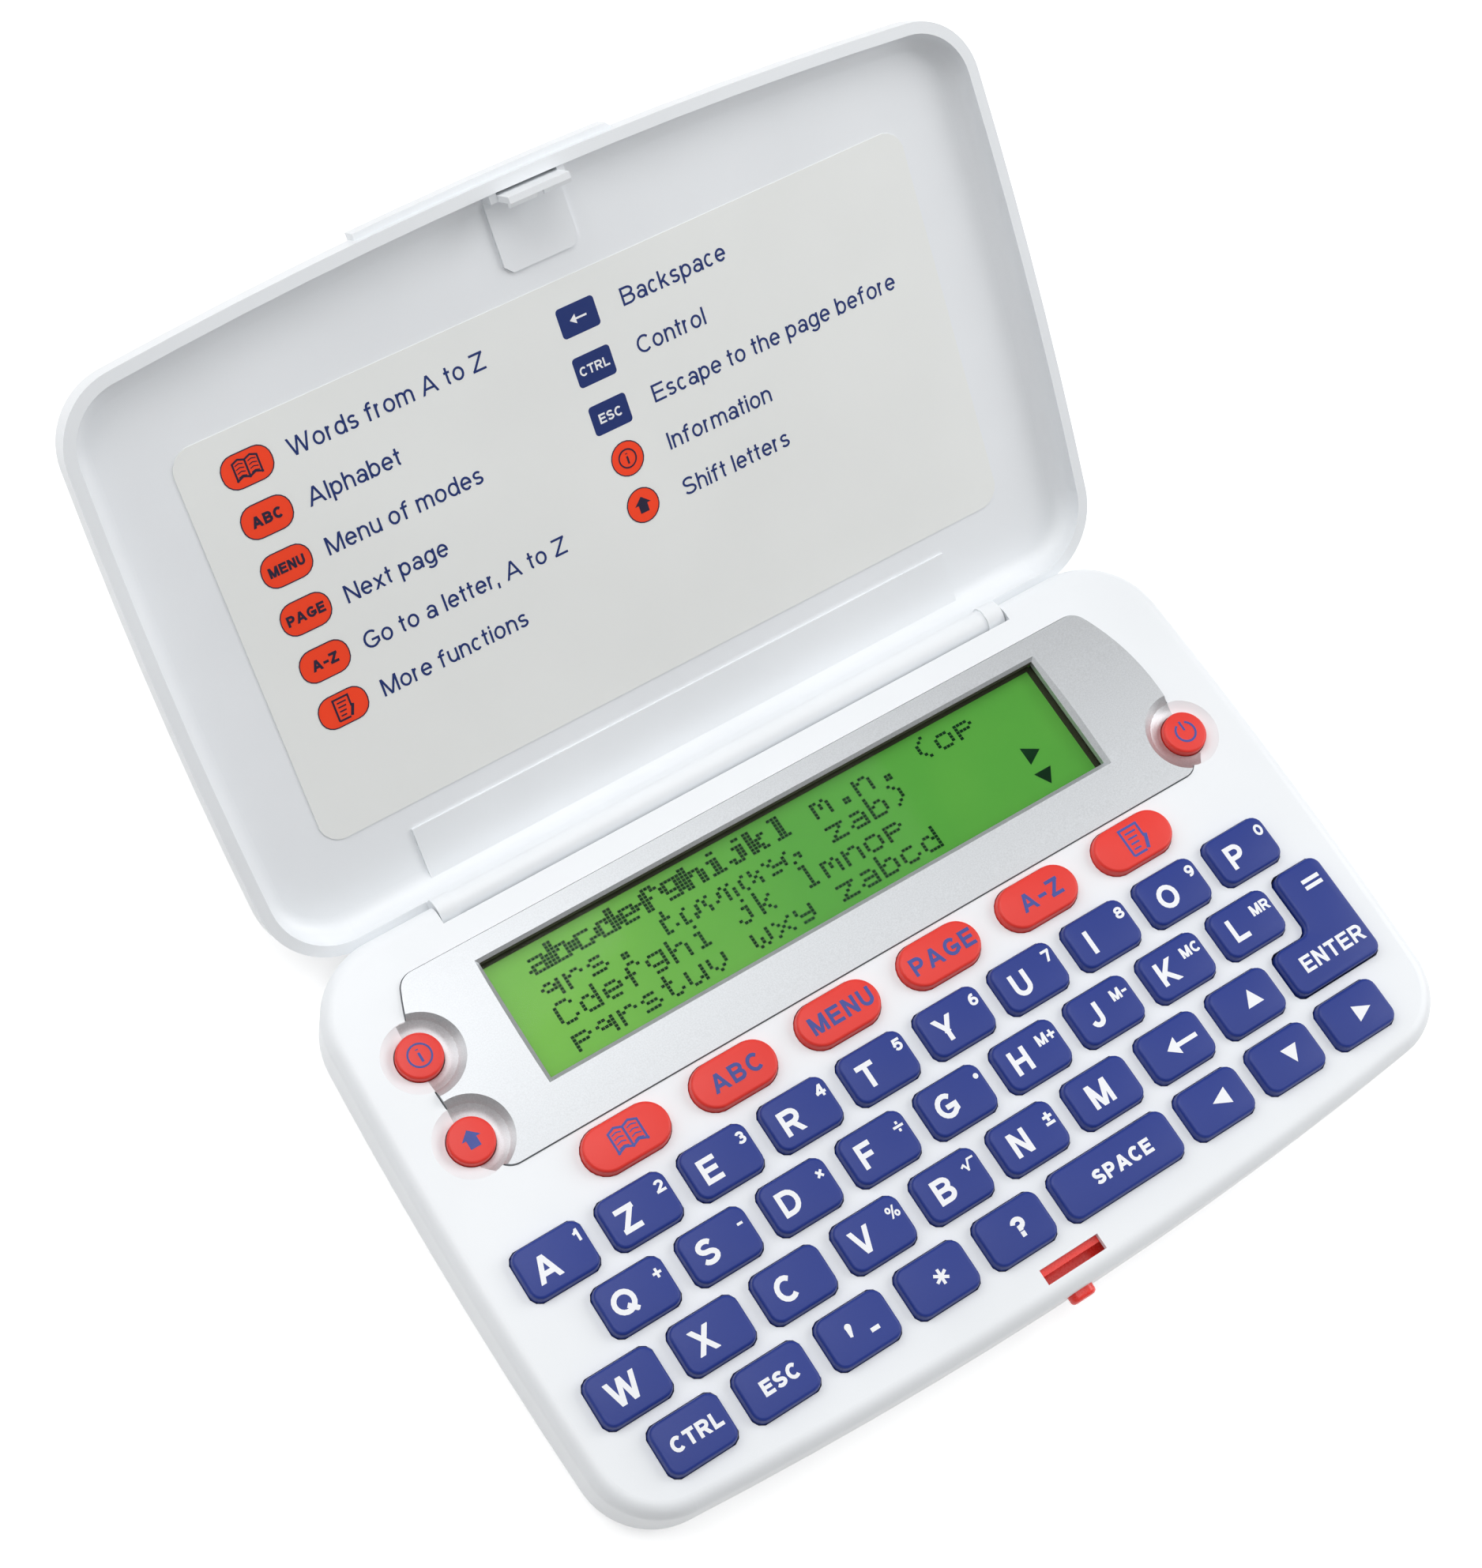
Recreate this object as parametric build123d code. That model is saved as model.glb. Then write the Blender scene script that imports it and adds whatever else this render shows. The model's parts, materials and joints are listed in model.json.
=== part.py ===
"""Pocket electronic dictionary with a hinged lid, as separate solids in millimetres.

Frame: the origin is the middle of the base's underside. X runs along the keyboard to the right,
Y towards the hinge and Z up. The lid is modelled closed and then swung open on its hinge.
The case is sized around what it holds: the keyboard and display in plan, the stack in height.
"""

from build123d import *
import math
import os

# ---- Clearances -------------------------------------------------------------------------------
key_gap = 0.2
part_gap = 0.15
slide_gap = 0.1
contact_gap = 0.05
pin_clearance = 0.05
screw_clearance = 0.05

# ---- Keyboard ---------------------------------------------------------------------------------
key_pitch = 11.8
key_spacing = 2.3
key_row_pitch = 8.55
key_row_spacing = 1.85
key_corner = 1.4
key_proud = 1.3
key_edge = 0.45
cap_flats = 1
hole_flats = 2
flange_overhang = 0.6
flange_thickness = 0.7
row_key_count = 10
keyboard_shift = 1.5
second_row_shift = 6.0
third_row_shift = -0.6
fourth_row_shift = 3.0
space_key_spacing = 2.1
enter_spacing = 2.05
enter_margin = 5.4

function_key_pitch = 15.74
function_key_width = 11.8
function_key_depth = 6.1
function_cap_flats = 3
function_hole_flats = 5
function_key_count = 6
function_key_gap = 0.85
first_row_gap = 2.05

round_button_radius = 3.0
round_button_sides = 24
round_button_proud = 0.5
round_button_margin = 9.7
round_button_rise = 5.4
round_button_spacing = 12.2
dish_radius = 4.8
dish_floor_radius = 3.6

# ---- Display ----------------------------------------------------------------------------------
bezel_margin_top = 12.6
bezel_margin_middle = 9.0
bezel_margin_bottom = 11.6
bezel_end_band = 10.5
bezel_rear_band = 3.3
bezel_front_band = 7.3
bezel_corner_radius = 2.6
bezel_pocket_depth = 0.9
bezel_proud = 0.3
bezel_crown = 0.4
view_depth = 17.0
view_chamfer = 0.5
window_border = 1.9
window_thickness = 0.8
lcd_border = 1.0
lcd_ledge = 1.5
lcd_thickness = 2.5
rib_thickness = 1.0
rib_depth = 2.2

# ---- Case -------------------------------------------------------------------------------------
side_margin = 6.2
rear_margin = 6.4
latch_key_gap = 0.35
side_bulge_radius = 640.0
front_bulge_radius = 600.0
front_corner_radius = 10.0
rear_corner_radius = 11.0
wall = 1.6
top_edge_radius = 2.0
bottom_edge_radius = 2.8
lip_thickness = 0.8
lip_height = 0.6
lip_roof_gap = 0.2

# ---- Battery bay ------------------------------------------------------------------------------
cell_radius = 10.0
cell_sides = 24
cell_thickness = 3.2
cell_gap = 0.4
cell_side_gap = 2.3
contact_height = 0.75
contact_width = 6.0
contact_depth = 3.0
bay_wall = 1.2
bay_top_gap = 0.8
bay_frame = 2.0
bay_frame_height = 1.6
door_thickness = 1.5
door_seat = 1.2
door_corner = 2.0
door_rear_margin = 9.5
tab_width = 8.0
tab_reach = 1.2
tab_root = 1.0
tab_thickness = 0.9

# ---- Circuit board and keypad sheet -----------------------------------------------------------
board_thickness = 1.0
board_inset = 3.2
board_rear_gap = 5.2
rest_width = 3.0
rest_front_margin = 21.0
rest_spacing = 40.0
rear_rest_margin = 20.0
chip_size = 8.0
chip_thickness = 1.0
chip_spacing = 50.0
sheet_thickness = 0.6
sheet_margin = 1.0
sheet_inset = 0.4
dome_radius = 2.3
dome_draft = 24.0
dome_sides = 4

# ---- Screws -----------------------------------------------------------------------------------
screw_radius = 0.95
screw_head_radius = 1.8
screw_head_height = 1.2
screw_head_depth = 0.8
screw_end_gap = 0.4
screw_sides = 12
boss_radius = 2.3
post_radius = 3.0
post_step = 1.6
post_sides = 8
front_screw_side = 5.2
front_screw_rise = 11.5
rear_screw_side = 6.2
rear_screw_drop = 7.4
door_screw_length = 2.8
door_screw_seat = 0.9
door_screw_depth = 0.1

# ---- Hinge ------------------------------------------------------------------------------------
hinge_setback = 0.95
hinge_drop = 1.9
hinge_margin = 21.0
open_angle = 137.0
notch_wall = 1.2
knuckle_width = 2.6
knuckle_radius = 1.95
roll_radius = 1.7
pin_radius = 0.8
pin_length = 2.3
hinge_side_gap = 0.2

# ---- Lid --------------------------------------------------------------------------------------
lid_inset = 0.6
lid_rim_gap = 0.1
lid_key_gap = 2.3
lid_wall = 1.5
lid_panel = 1.8
lid_edge_radius = 2.4
lid_cove_radius = 2.4
web_rise = 0.4
web_depth = 9.4
thumb_lip_left = -22.4
thumb_lip_right = 13.3
thumb_lip_reach = 0.8
thumb_lip_low = 1.4
thumb_lip_height = 2.4
label_side_margin = 13.0
label_front_margin = 15.6
label_web_gap = 3.1
label_thickness = 0.15
label_corner = 3.0

# ---- Latch ------------------------------------------------------------------------------------
hook_wall_gap = 0.45
hook_width = 8.4
hook_thickness = 0.8
hook_reach = 2.9
barb_reach = 0.55
barb_height = 0.8
barb_gap = 1.0
gusset_width = 1.0
gusset_height = 3.0
pad_width = 10.4
pad_depth = 10.4
pad_corner = 1.0
pad_rise = 0.45
slot_front_gap = 0.25
slot_rear_gap = 0.5
slot_side_gap = 0.3
slot_roof = 0.8
ledge_width = 11.0
ledge_thickness = 1.0
ledge_overlap = 0.4
upright_setback = 0.5
upright_thickness = 0.7
slider_width = 13.0
slider_depth = 3.2
slider_height = 1.6
slider_front_gap = 0.4
knob_width = 3.6
knob_height = 2.2
knob_proud = 1.2
knob_edge = 0.5
latch_travel = 1.0
bumper_width = 5.0
bumper_pressed = 1.0
rail_width = 1.0
rail_spacing = 10.0

# ---- Height of each layer, worked out from the floor up -------------------------------------
cell_bottom = door_thickness + part_gap
cell_top = cell_bottom + cell_thickness
board_height = cell_top + contact_height
board_top = board_height + board_thickness
sheet_top = board_top + sheet_thickness
lcd_bottom = board_top + contact_gap
window_bottom = lcd_bottom + lcd_thickness + part_gap
pocket_floor = window_bottom + window_thickness
case_height = pocket_floor + bezel_pocket_depth
ceiling = case_height - wall
flange_top = ceiling - slide_gap
flange_bottom = flange_top - flange_thickness
dome_top = flange_bottom - contact_gap
bay_top = board_height - bay_top_gap
rim_level = case_height + lid_rim_gap
panel_level = case_height + key_proud + lid_key_gap
lid_top = panel_level + lid_panel
hinge_z = case_height - hinge_drop
notch_radius = knuckle_radius + part_gap
notch_floor = hinge_z - notch_radius
parting_height = notch_floor - notch_wall - lip_roof_gap - lip_height
screw_seat = screw_head_depth + screw_head_height
screw_tip = ceiling - 2 * screw_end_gap

# ---- The latch, measured back from the front edge of the case ---------------------------------
hook_front = lid_inset + lid_wall + hook_wall_gap
hook_rear = hook_front + hook_thickness
barb_rear = hook_rear + barb_reach
slot_front = hook_front - slot_front_gap
slot_rear = barb_rear + slot_rear_gap
ledge_front = barb_rear - ledge_overlap
upright_front = ledge_front + upright_setback
upright_rear = upright_front + upright_thickness
slider_front = wall + slider_front_gap
slider_rear = slider_front + slider_depth
latch_bay_rear = slider_rear + latch_travel + bumper_pressed
front_margin = upright_rear + latch_travel + latch_key_gap + flange_overhang
hook_tip = rim_level - hook_reach
barb_top = hook_tip + barb_height
ledge_low = barb_top + slide_gap
ledge_top = ledge_low + ledge_thickness
slider_low = board_height + slide_gap
slider_top = slider_low + slider_height
knob_z = slider_low + knob_height / 2

# ---- Plan, from the rear edge to the front ----------------------------------------------------
key_width = key_pitch - key_spacing
key_depth = key_row_pitch - key_row_spacing
case_width = row_key_count * key_pitch + 2 * side_margin
bezel_depth = bezel_rear_band + view_depth + bezel_front_band
keys_depth = function_key_gap + function_key_depth + first_row_gap + 3 * key_row_pitch + key_depth
case_depth = rear_margin + bezel_depth + keys_depth + front_margin
side_x = case_width / 2
rear_y = case_depth / 2
front_y = -rear_y
bezel_top_y = rear_y - rear_margin
bezel_bottom_y = bezel_top_y - bezel_depth
bezel_middle_y = (bezel_top_y + bezel_bottom_y) / 2
view_y = bezel_top_y - bezel_rear_band - view_depth / 2
view_width = 2 * (side_x - bezel_margin_bottom - bezel_end_band)
function_key_y = bezel_bottom_y - function_key_gap - function_key_depth / 2
first_row_y = function_key_y - function_key_depth / 2 - first_row_gap - key_depth / 2
row_y = [first_row_y - row * key_row_pitch for row in range(4)]
hinge_y = rear_y - hinge_setback
hinge_half = side_x - hinge_margin
spine_half = hinge_half - hinge_side_gap
bay_width = 4 * cell_radius + 3 * cell_gap + bay_wall + 2 * (boss_radius + bay_wall)
bay_depth = 2 * (cell_radius + cell_side_gap)
door_width = bay_width + 2 * door_seat
door_depth = bay_depth + 2 * door_seat
door_y = rear_y - door_rear_margin - door_depth / 2
door_screw_x = bay_width / 2 - boss_radius - bay_wall
cell_places = [-bay_width / 2 + cell_gap + cell_radius, 0.0]
cell_places[1] = cell_places[0] + 2 * cell_radius + cell_gap
fence_x = cell_places[1] + cell_radius + cell_gap
screw_places = [
    (side * (side_x - inset), y)
    for inset, y in (
        (front_screw_side, front_y + front_screw_rise),
        (rear_screw_side, rear_y - rear_screw_drop),
    )
    for side in (-1, 1)
]


# ---- Helpers ----------------------------------------------------------------------------------
def prism(face, low, high):
    """A face of the XY plane, raised from one level to another."""
    return extrude(Pos(0, 0, low) * face, amount=high - low, dir=(0, 0, 1))


def slab(x0, x1, y0, y1, z0, z1):
    """A straight block between two corners."""
    block = Box(x1 - x0, y1 - y0, z1 - z0)
    return Pos((x0 + x1) / 2, (y0 + y1) / 2, (z0 + z1) / 2) * block


def centred(width, y0, y1, z0, z1):
    """A straight block of a given width, centred on the middle of the case."""
    return slab(-width / 2, width / 2, y0, y1, z0, z1)


def post(radius, x, y, low, high, sides=post_sides):
    """An upright post with flat sides, or a hole of that shape."""
    return prism(Pos(x, y) * RegularPolygon(radius, sides), low, high)


def cross_rod(radius, x0, x1):
    """A cylinder on the hinge axis, between two places given in either order."""
    middle = Pos((x0 + x1) / 2, hinge_y, hinge_z)
    return middle * Rot(0, 90, 0) * Cylinder(radius, abs(x1 - x0))


def top_edges(part):
    return part.edges().group_by(Axis.Z)[-1]


def soft_polygon(points, radius, flats):
    """A face with right-angled corners, each rounded by a few flats that touch its arc."""
    half = math.radians(45 / (flats + 1))
    outline = []
    for i, point in enumerate(points):
        corner = Vector(*point)
        back = (Vector(*points[i - 1]) - corner).normalized()
        on = (Vector(*points[(i + 1) % len(points)]) - corner).normalized()
        centre = corner + (back + on) * radius
        for step in range(flats + 1):
            turn = half * (2 * step + 1)
            reach = radius / math.cos(half)
            outline.append(centre - (on * math.cos(turn) + back * math.sin(turn)) * reach)
    return make_face(Polyline(*outline, close=True))


def soft_rectangle(width, depth, radius, flats):
    x = width / 2
    y = depth / 2
    return soft_polygon([(-x, -y), (x, -y), (x, y), (-x, y)], radius, flats)


def case_outline(inset=0.0):
    """The case in plan: two bowed sides, a bowed front and a straight rear, round at the corners."""
    side_centre = side_bulge_radius - side_x
    side_disc = Circle(side_bulge_radius - inset)
    front_disc = Circle(front_bulge_radius - inset)
    face = Pos(side_centre, 0) * side_disc & Pos(-side_centre, 0) * side_disc
    face = face & Pos(0, front_bulge_radius + front_y) * front_disc
    rear_limit = rear_y - inset
    face = face & Pos(0, rear_limit - case_depth) * Rectangle(2 * case_width, 2 * case_depth)
    front, rear = face.vertices().group_by(Axis.Y)
    face = fillet(front, front_corner_radius - inset)
    rear = [v for v in face.vertices() if v.Y > rear_limit - contact_gap]
    return fillet(rear, rear_corner_radius - inset)


def bezel_outline(inset=0.0):
    """The display surround in plan: straight top and bottom, bowed ends."""
    top = bezel_top_y - inset
    bottom = bezel_bottom_y + inset
    half_top = side_x - bezel_margin_top - inset
    half_middle = side_x - bezel_margin_middle - inset
    half_bottom = side_x - bezel_margin_bottom - inset
    right = ThreePointArc((half_top, top), (half_middle, bezel_middle_y), (half_bottom, bottom))
    left = ThreePointArc((-half_bottom, bottom), (-half_middle, bezel_middle_y), (-half_top, top))
    upper = Line((-half_top, top), (half_top, top))
    lower = Line((half_bottom, bottom), (-half_bottom, bottom))
    face = make_face(Curve() + [upper, right, lower, left])
    return fillet(face.vertices(), bezel_corner_radius - inset)


def dish(x, y):
    """The cone-shaped hollow around a round button, through the case and the bezel."""
    slope = (dish_radius - dish_floor_radius) / bezel_pocket_depth
    rise = 2 * (bezel_pocket_depth + bezel_proud)
    wide = dish_floor_radius + slope * rise
    return Pos(x, y, pocket_floor + rise / 2) * Cone(dish_floor_radius, wide, rise)


# ---- Keys: outlines and places ----------------------------------------------------------------
first_row_x = (key_pitch - row_key_count * key_pitch) / 2 - keyboard_shift
row_x = [first_row_x]
row_x += [first_row_x + shift for shift in (second_row_shift, third_row_shift, fourth_row_shift)]
arrow_keys_x = row_x[2] + 7 * key_pitch
question_x = row_x[3] + 4 * key_pitch
space_key_width = arrow_keys_x - question_x - key_width - 2 * space_key_spacing
enter_right = side_x - enter_margin
enter_left = row_x[2] + 8 * key_pitch + key_width / 2 + enter_spacing
enter_leg_left = row_x[1] + 8 * key_pitch + key_width / 2 + enter_spacing


def plain_key(grow=0.0, flats=cap_flats):
    return soft_rectangle(key_width + 2 * grow, key_depth + 2 * grow, key_corner + grow, flats)


def space_key(grow=0.0, flats=cap_flats):
    return soft_rectangle(space_key_width + 2 * grow, key_depth + 2 * grow, key_corner + grow, flats)


def enter_key(grow=0.0, flats=cap_flats):
    """The L-shaped key, in its place: a foot in the third row and a leg up through the second."""
    low = row_y[2] - key_depth / 2 - grow
    middle = row_y[2] + key_depth / 2 + grow
    high = row_y[1] + key_depth / 2 + grow
    left = enter_left - grow
    leg_left = enter_leg_left - grow
    right = enter_right + grow
    points = [(left, low), (right, low), (right, high), (leg_left, high), (leg_left, middle)]
    return soft_polygon(points + [(left, middle)], key_corner, flats)


def function_key(grow=0.0, flats=function_cap_flats):
    depth = function_key_depth + 2 * grow
    return soft_rectangle(function_key_width + 2 * grow, depth, depth / 2, flats)


def round_button(grow=0.0, flats=round_button_sides):
    return RegularPolygon(round_button_radius + grow, flats)


def flange_block(outline):
    """The straight-sided foot that keeps a key under the case."""
    box = outline(flange_overhang).bounding_box()
    return slab(box.min.X, box.max.X, box.min.Y, box.max.Y, flange_bottom, flange_top)


def key_row(names, row, first_x, outline=plain_key):
    """One row's keys, left to right: each with its outline and its place."""
    return {name: (outline, (first_x + i * key_pitch, row_y[row])) for i, name in enumerate(names)}


keys = {
    **key_row(["key_" + letter for letter in "azertyuiop"], 0, row_x[0]),
    **key_row(["key_" + letter for letter in "qsdfghjkl"], 1, row_x[1]),
    **key_row(["key_" + letter for letter in "wxcvbnm"] + ["key_backspace", "key_up"], 2, row_x[2]),
    **key_row(["key_control", "key_escape", "key_apostrophe", "key_star", "key_question"], 3, row_x[3]),
    **key_row(["key_left", "key_down", "key_right"], 3, arrow_keys_x),
    **key_row(["key_space"], 3, (question_x + arrow_keys_x) / 2, space_key),
    "key_enter": (enter_key, (0, 0)),
}
for number in range(function_key_count):
    function_key_x = (number - (function_key_count - 1) / 2) * function_key_pitch
    keys[f"function_key_{number + 1}"] = (function_key, (function_key_x, function_key_y))
round_button_x = side_x - round_button_margin
round_button_y = bezel_bottom_y + round_button_rise
round_buttons = {
    "button_info": (round_button, (-round_button_x, round_button_y + round_button_spacing)),
    "button_shift": (round_button, (-round_button_x, round_button_y)),
    "button_power": (round_button, (round_button_x, round_button_y)),
}
keys.update(round_buttons)


def make_key(outline, place):
    """A key cap, bevelled at the top, with its flange."""
    proud = round_button_proud if outline is round_button else key_proud
    cap = prism(outline(), flange_top, case_height + proud)
    cap = chamfer(top_edges(cap), key_edge)
    if outline is enter_key:
        flange = prism(outline(flange_overhang), flange_bottom, flange_top)
    else:
        flange = flange_block(outline)
    return Pos(*place) * (cap + flange)


# ---- Case halves ------------------------------------------------------------------------------
def display_ribs():
    """The frame under the ceiling that holds the display in place."""
    inner_x = view_width + 2 * (window_border + lcd_border + part_gap)
    inner_y = view_depth + 2 * (window_border + part_gap)
    outer = Rectangle(inner_x + 2 * rib_thickness, inner_y + 2 * rib_thickness)
    return prism(Pos(0, view_y) * (outer - Rectangle(inner_x, inner_y)), ceiling - rib_depth, ceiling)


def make_top_case():
    shell = prism(case_outline(), parting_height, case_height)
    shell = fillet(top_edges(shell), top_edge_radius)
    shell -= prism(case_outline(wall), parting_height, ceiling)
    # Walls of the hinge notch, the screw bosses and the display's ribs.
    notch_front = hinge_y - notch_radius
    block_width = 2 * (hinge_half + notch_wall)
    block_low = notch_floor - notch_wall
    added = [centred(block_width, notch_front - notch_wall, rear_y - wall / 2, block_low, ceiling)]
    added.append(display_ribs())
    for x, y in screw_places:
        added.append(post(boss_radius, x, y, board_height + contact_gap, ceiling))
    shell += added
    # Hinge notch, screw holes, display opening, bezel pocket, dishes and key holes.
    removed = [centred(2 * hinge_half, notch_front, rear_y + wall, notch_floor, case_height + wall)]
    hole = screw_radius + screw_clearance
    for x, y in screw_places:
        removed.append(post(hole, x, y, parting_height, screw_tip + screw_end_gap, screw_sides))
    opening_x = view_width + 2 * (window_border + part_gap)
    opening_y = view_depth + 2 * (window_border + part_gap)
    removed.append(prism(Pos(0, view_y) * Rectangle(opening_x, opening_y), ceiling, pocket_floor))
    removed.append(prism(bezel_outline(), pocket_floor, case_height))
    removed += [dish(*place) for _, place in round_buttons.values()]
    finer = {function_key: function_hole_flats, round_button: round_button_sides}
    for outline, place in keys.values():
        hole_face = outline(key_gap, finer.get(outline, hole_flats))
        removed.append(prism(Pos(*place) * hole_face, ceiling, case_height))
    # Latch: the slot for the hook, a thinner roof over the catch and the hole for the knob.
    slot_width = hook_width + 2 * slot_side_gap
    removed.append(centred(slot_width, front_y + slot_front, front_y + slot_rear, ceiling, case_height))
    roof_width = ledge_width + 4 * part_gap
    roof_rear = front_y + upright_rear + latch_travel + slide_gap
    removed.append(centred(roof_width, front_y + wall, roof_rear, ceiling, case_height - slot_roof))
    hole_width = knob_width + 2 * part_gap
    hole_height = knob_height + 2 * part_gap
    knob_hole = soft_rectangle(hole_width, hole_height, hole_height / 2, 3)
    knob_plane = Plane((0, front_y, knob_z), x_dir=(1, 0, 0), z_dir=(0, -1, 0))
    removed.append(extrude(knob_plane * knob_hole, wall, both=True))
    shell -= removed
    # The hinge pins stand on the notch's two end walls.
    for side in (-1, 1):
        shell += cross_rod(pin_radius, side * (hinge_half - pin_length), side * (hinge_half + notch_wall))
    return shell


def make_bottom_case():
    shell = prism(case_outline(), 0, parting_height)
    shell = fillet(shell.edges().group_by(Axis.Z)[0], bottom_edge_radius)
    shell -= prism(case_outline(wall), wall, parting_height)
    # The lip that locates the top case, on a step inside the wall.
    lip_face = case_outline(wall + contact_gap)
    lip_inner = case_outline(wall + lip_thickness)
    step = prism(case_outline(wall / 2) - lip_inner, parting_height - 2 * lip_thickness, parting_height)
    lip = prism(lip_face - lip_inner, parting_height, parting_height + lip_height)
    inside = prism(case_outline(wall / 2), 0, parting_height) + prism(lip_face, parting_height, case_height)
    # Battery bay: a frame around the door, and walls around the cells.
    frame_x = door_width + 2 * bay_frame
    frame_y = door_depth + 2 * bay_frame
    block_x = bay_width + 2 * bay_wall
    block_y = bay_depth + 2 * bay_wall
    frame = prism(Pos(0, door_y) * Rectangle(frame_x, frame_y), wall, wall + bay_frame_height)
    block = prism(Pos(0, door_y) * Rectangle(block_x, block_y), wall, bay_top)
    # Rests for the board, rails for the latch slider and posts for the case screws.
    cross = Rectangle(rest_width, bay_wall) + Rectangle(bay_wall, rest_width)
    rests = [(i * rest_spacing, front_y + rest_front_margin) for i in (-1, 0, 1)]
    rests += [(side * (side_x - rear_rest_margin), door_y) for side in (-1, 1)]
    added = [prism(Pos(*place) * cross, wall, board_height - contact_gap) for place in rests]
    for side in (-1, 1):
        rail = Pos(side * rail_spacing / 2, front_y) * Rectangle(
            rail_width, 2 * (slider_rear + latch_travel)
        )
        added.append(inside & prism(rail, wall, board_height))
    for x, y in screw_places:
        stem = post(post_radius, x, y, wall / 2, board_height - post_step)
        added.append(inside & (stem + post(boss_radius, x, y, wall, board_height)))
    shell += [step, lip, frame, block] + added
    removed = [prism(Pos(0, door_y) * Rectangle(bay_width, bay_depth), door_thickness, bay_top)]
    low = door_thickness + contact_gap
    door_hole = soft_rectangle(door_width + 2 * part_gap, door_depth + 2 * part_gap, door_corner, 3)
    removed.append(prism(Pos(0, door_y) * door_hole, 0, low))
    tab_y = tab_width / 2 + part_gap
    tab_high = wall + contact_gap + tab_thickness + part_gap
    for reach, floor in ((tab_reach, wall), (0, door_thickness)):
        left = -door_width / 2 - reach - part_gap
        removed.append(slab(left, -bay_width / 2, door_y - tab_y, door_y + tab_y, floor, tab_high))
    for x, y in screw_places:
        removed.append(post(screw_head_radius + part_gap, x, y, 0, screw_seat, screw_sides))
        removed.append(post(screw_radius + part_gap, x, y, 0, board_height, screw_sides))
    shell -= removed
    # A fence beside the cells, and the door screw's post with its rib to the bay's end.
    fence = slab(fence_x, fence_x + bay_wall, door_y - block_y / 2, door_y + block_y / 2, low, bay_top)
    rib = slab(door_screw_x, block_x / 2, door_y - bay_wall / 2, door_y + bay_wall / 2, low, bay_top)
    shell += [fence, rib, post(boss_radius, door_screw_x, door_y, low, bay_top)]
    screw_top = door_screw_seat + door_screw_length + screw_end_gap
    return shell - post(screw_radius + screw_clearance, door_screw_x, door_y, 0, screw_top, screw_sides)


# ---- Display ----------------------------------------------------------------------------------
def make_bezel():
    """The metallised surround, crowned along its depth, with a bevelled window opening."""
    crown_radius = ((bezel_depth / 2) ** 2 + bezel_crown**2) / (2 * bezel_crown)
    crown_top = case_height + bezel_proud + bezel_crown
    body = prism(bezel_outline(part_gap), pocket_floor, crown_top)
    barrel = Rot(0, 90, 0) * Cylinder(crown_radius, case_width)
    body = body & Pos(0, bezel_middle_y, crown_top - crown_radius) * barrel
    view = Pos(0, view_y) * Rectangle(view_width, view_depth)
    flare_low = crown_top - bezel_crown / 2 - view_chamfer
    flare = extrude(Pos(0, 0, flare_low) * view, amount=2 * view_chamfer, taper=-45, dir=(0, 0, 1))
    dishes = [dish(*place) for _, place in round_buttons.values()]
    return body - [prism(view, pocket_floor, crown_top), flare] - dishes


def make_window():
    size = Rectangle(view_width + 2 * window_border, view_depth + 2 * window_border)
    return prism(Pos(0, view_y) * size, window_bottom, pocket_floor)


def make_lcd():
    """Two glass layers: the rear one longer, with the contact ledge along its low edge."""
    size_x = view_width + 2 * (window_border + lcd_border)
    size_y = view_depth + 2 * window_border
    middle = lcd_bottom + lcd_thickness / 2
    rear_glass = prism(Pos(0, view_y) * Rectangle(size_x, size_y), lcd_bottom, middle)
    front = Pos(0, view_y + lcd_ledge / 2) * Rectangle(size_x, size_y - lcd_ledge)
    return rear_glass + prism(front, middle, lcd_bottom + lcd_thickness)


# ---- Inner pieces -----------------------------------------------------------------------------
def latch_bay(low, high):
    """The room for the latch slider and its travel."""
    return centred(slider_width + 4 * part_gap, front_y, front_y + latch_bay_rear, low, high)


def around_screws(low, high):
    return [post(boss_radius + 2 * part_gap, x, y, low, high) for x, y in screw_places]


def make_board():
    limit = Pos(0, rear_y - board_rear_gap - case_depth) * Rectangle(2 * case_width, 2 * case_depth)
    board = prism(case_outline(board_inset) & limit, board_height, board_top)
    board -= around_screws(board_height, board_top) + [latch_bay(board_height, board_top)]
    # Cell contacts and two chips under the board.
    contact = Rectangle(contact_width, contact_depth)
    added = [prism(Pos(x, door_y) * contact, cell_top + contact_gap, board_height) for x in cell_places]
    chip_y = (row_y[0] + row_y[1]) / 2
    for side in (-1, 1):
        chip = Pos(side * chip_spacing / 2, chip_y) * Rectangle(chip_size, chip_size)
        added.append(prism(chip, board_height - chip_thickness, board_height))
    return board + added


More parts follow.
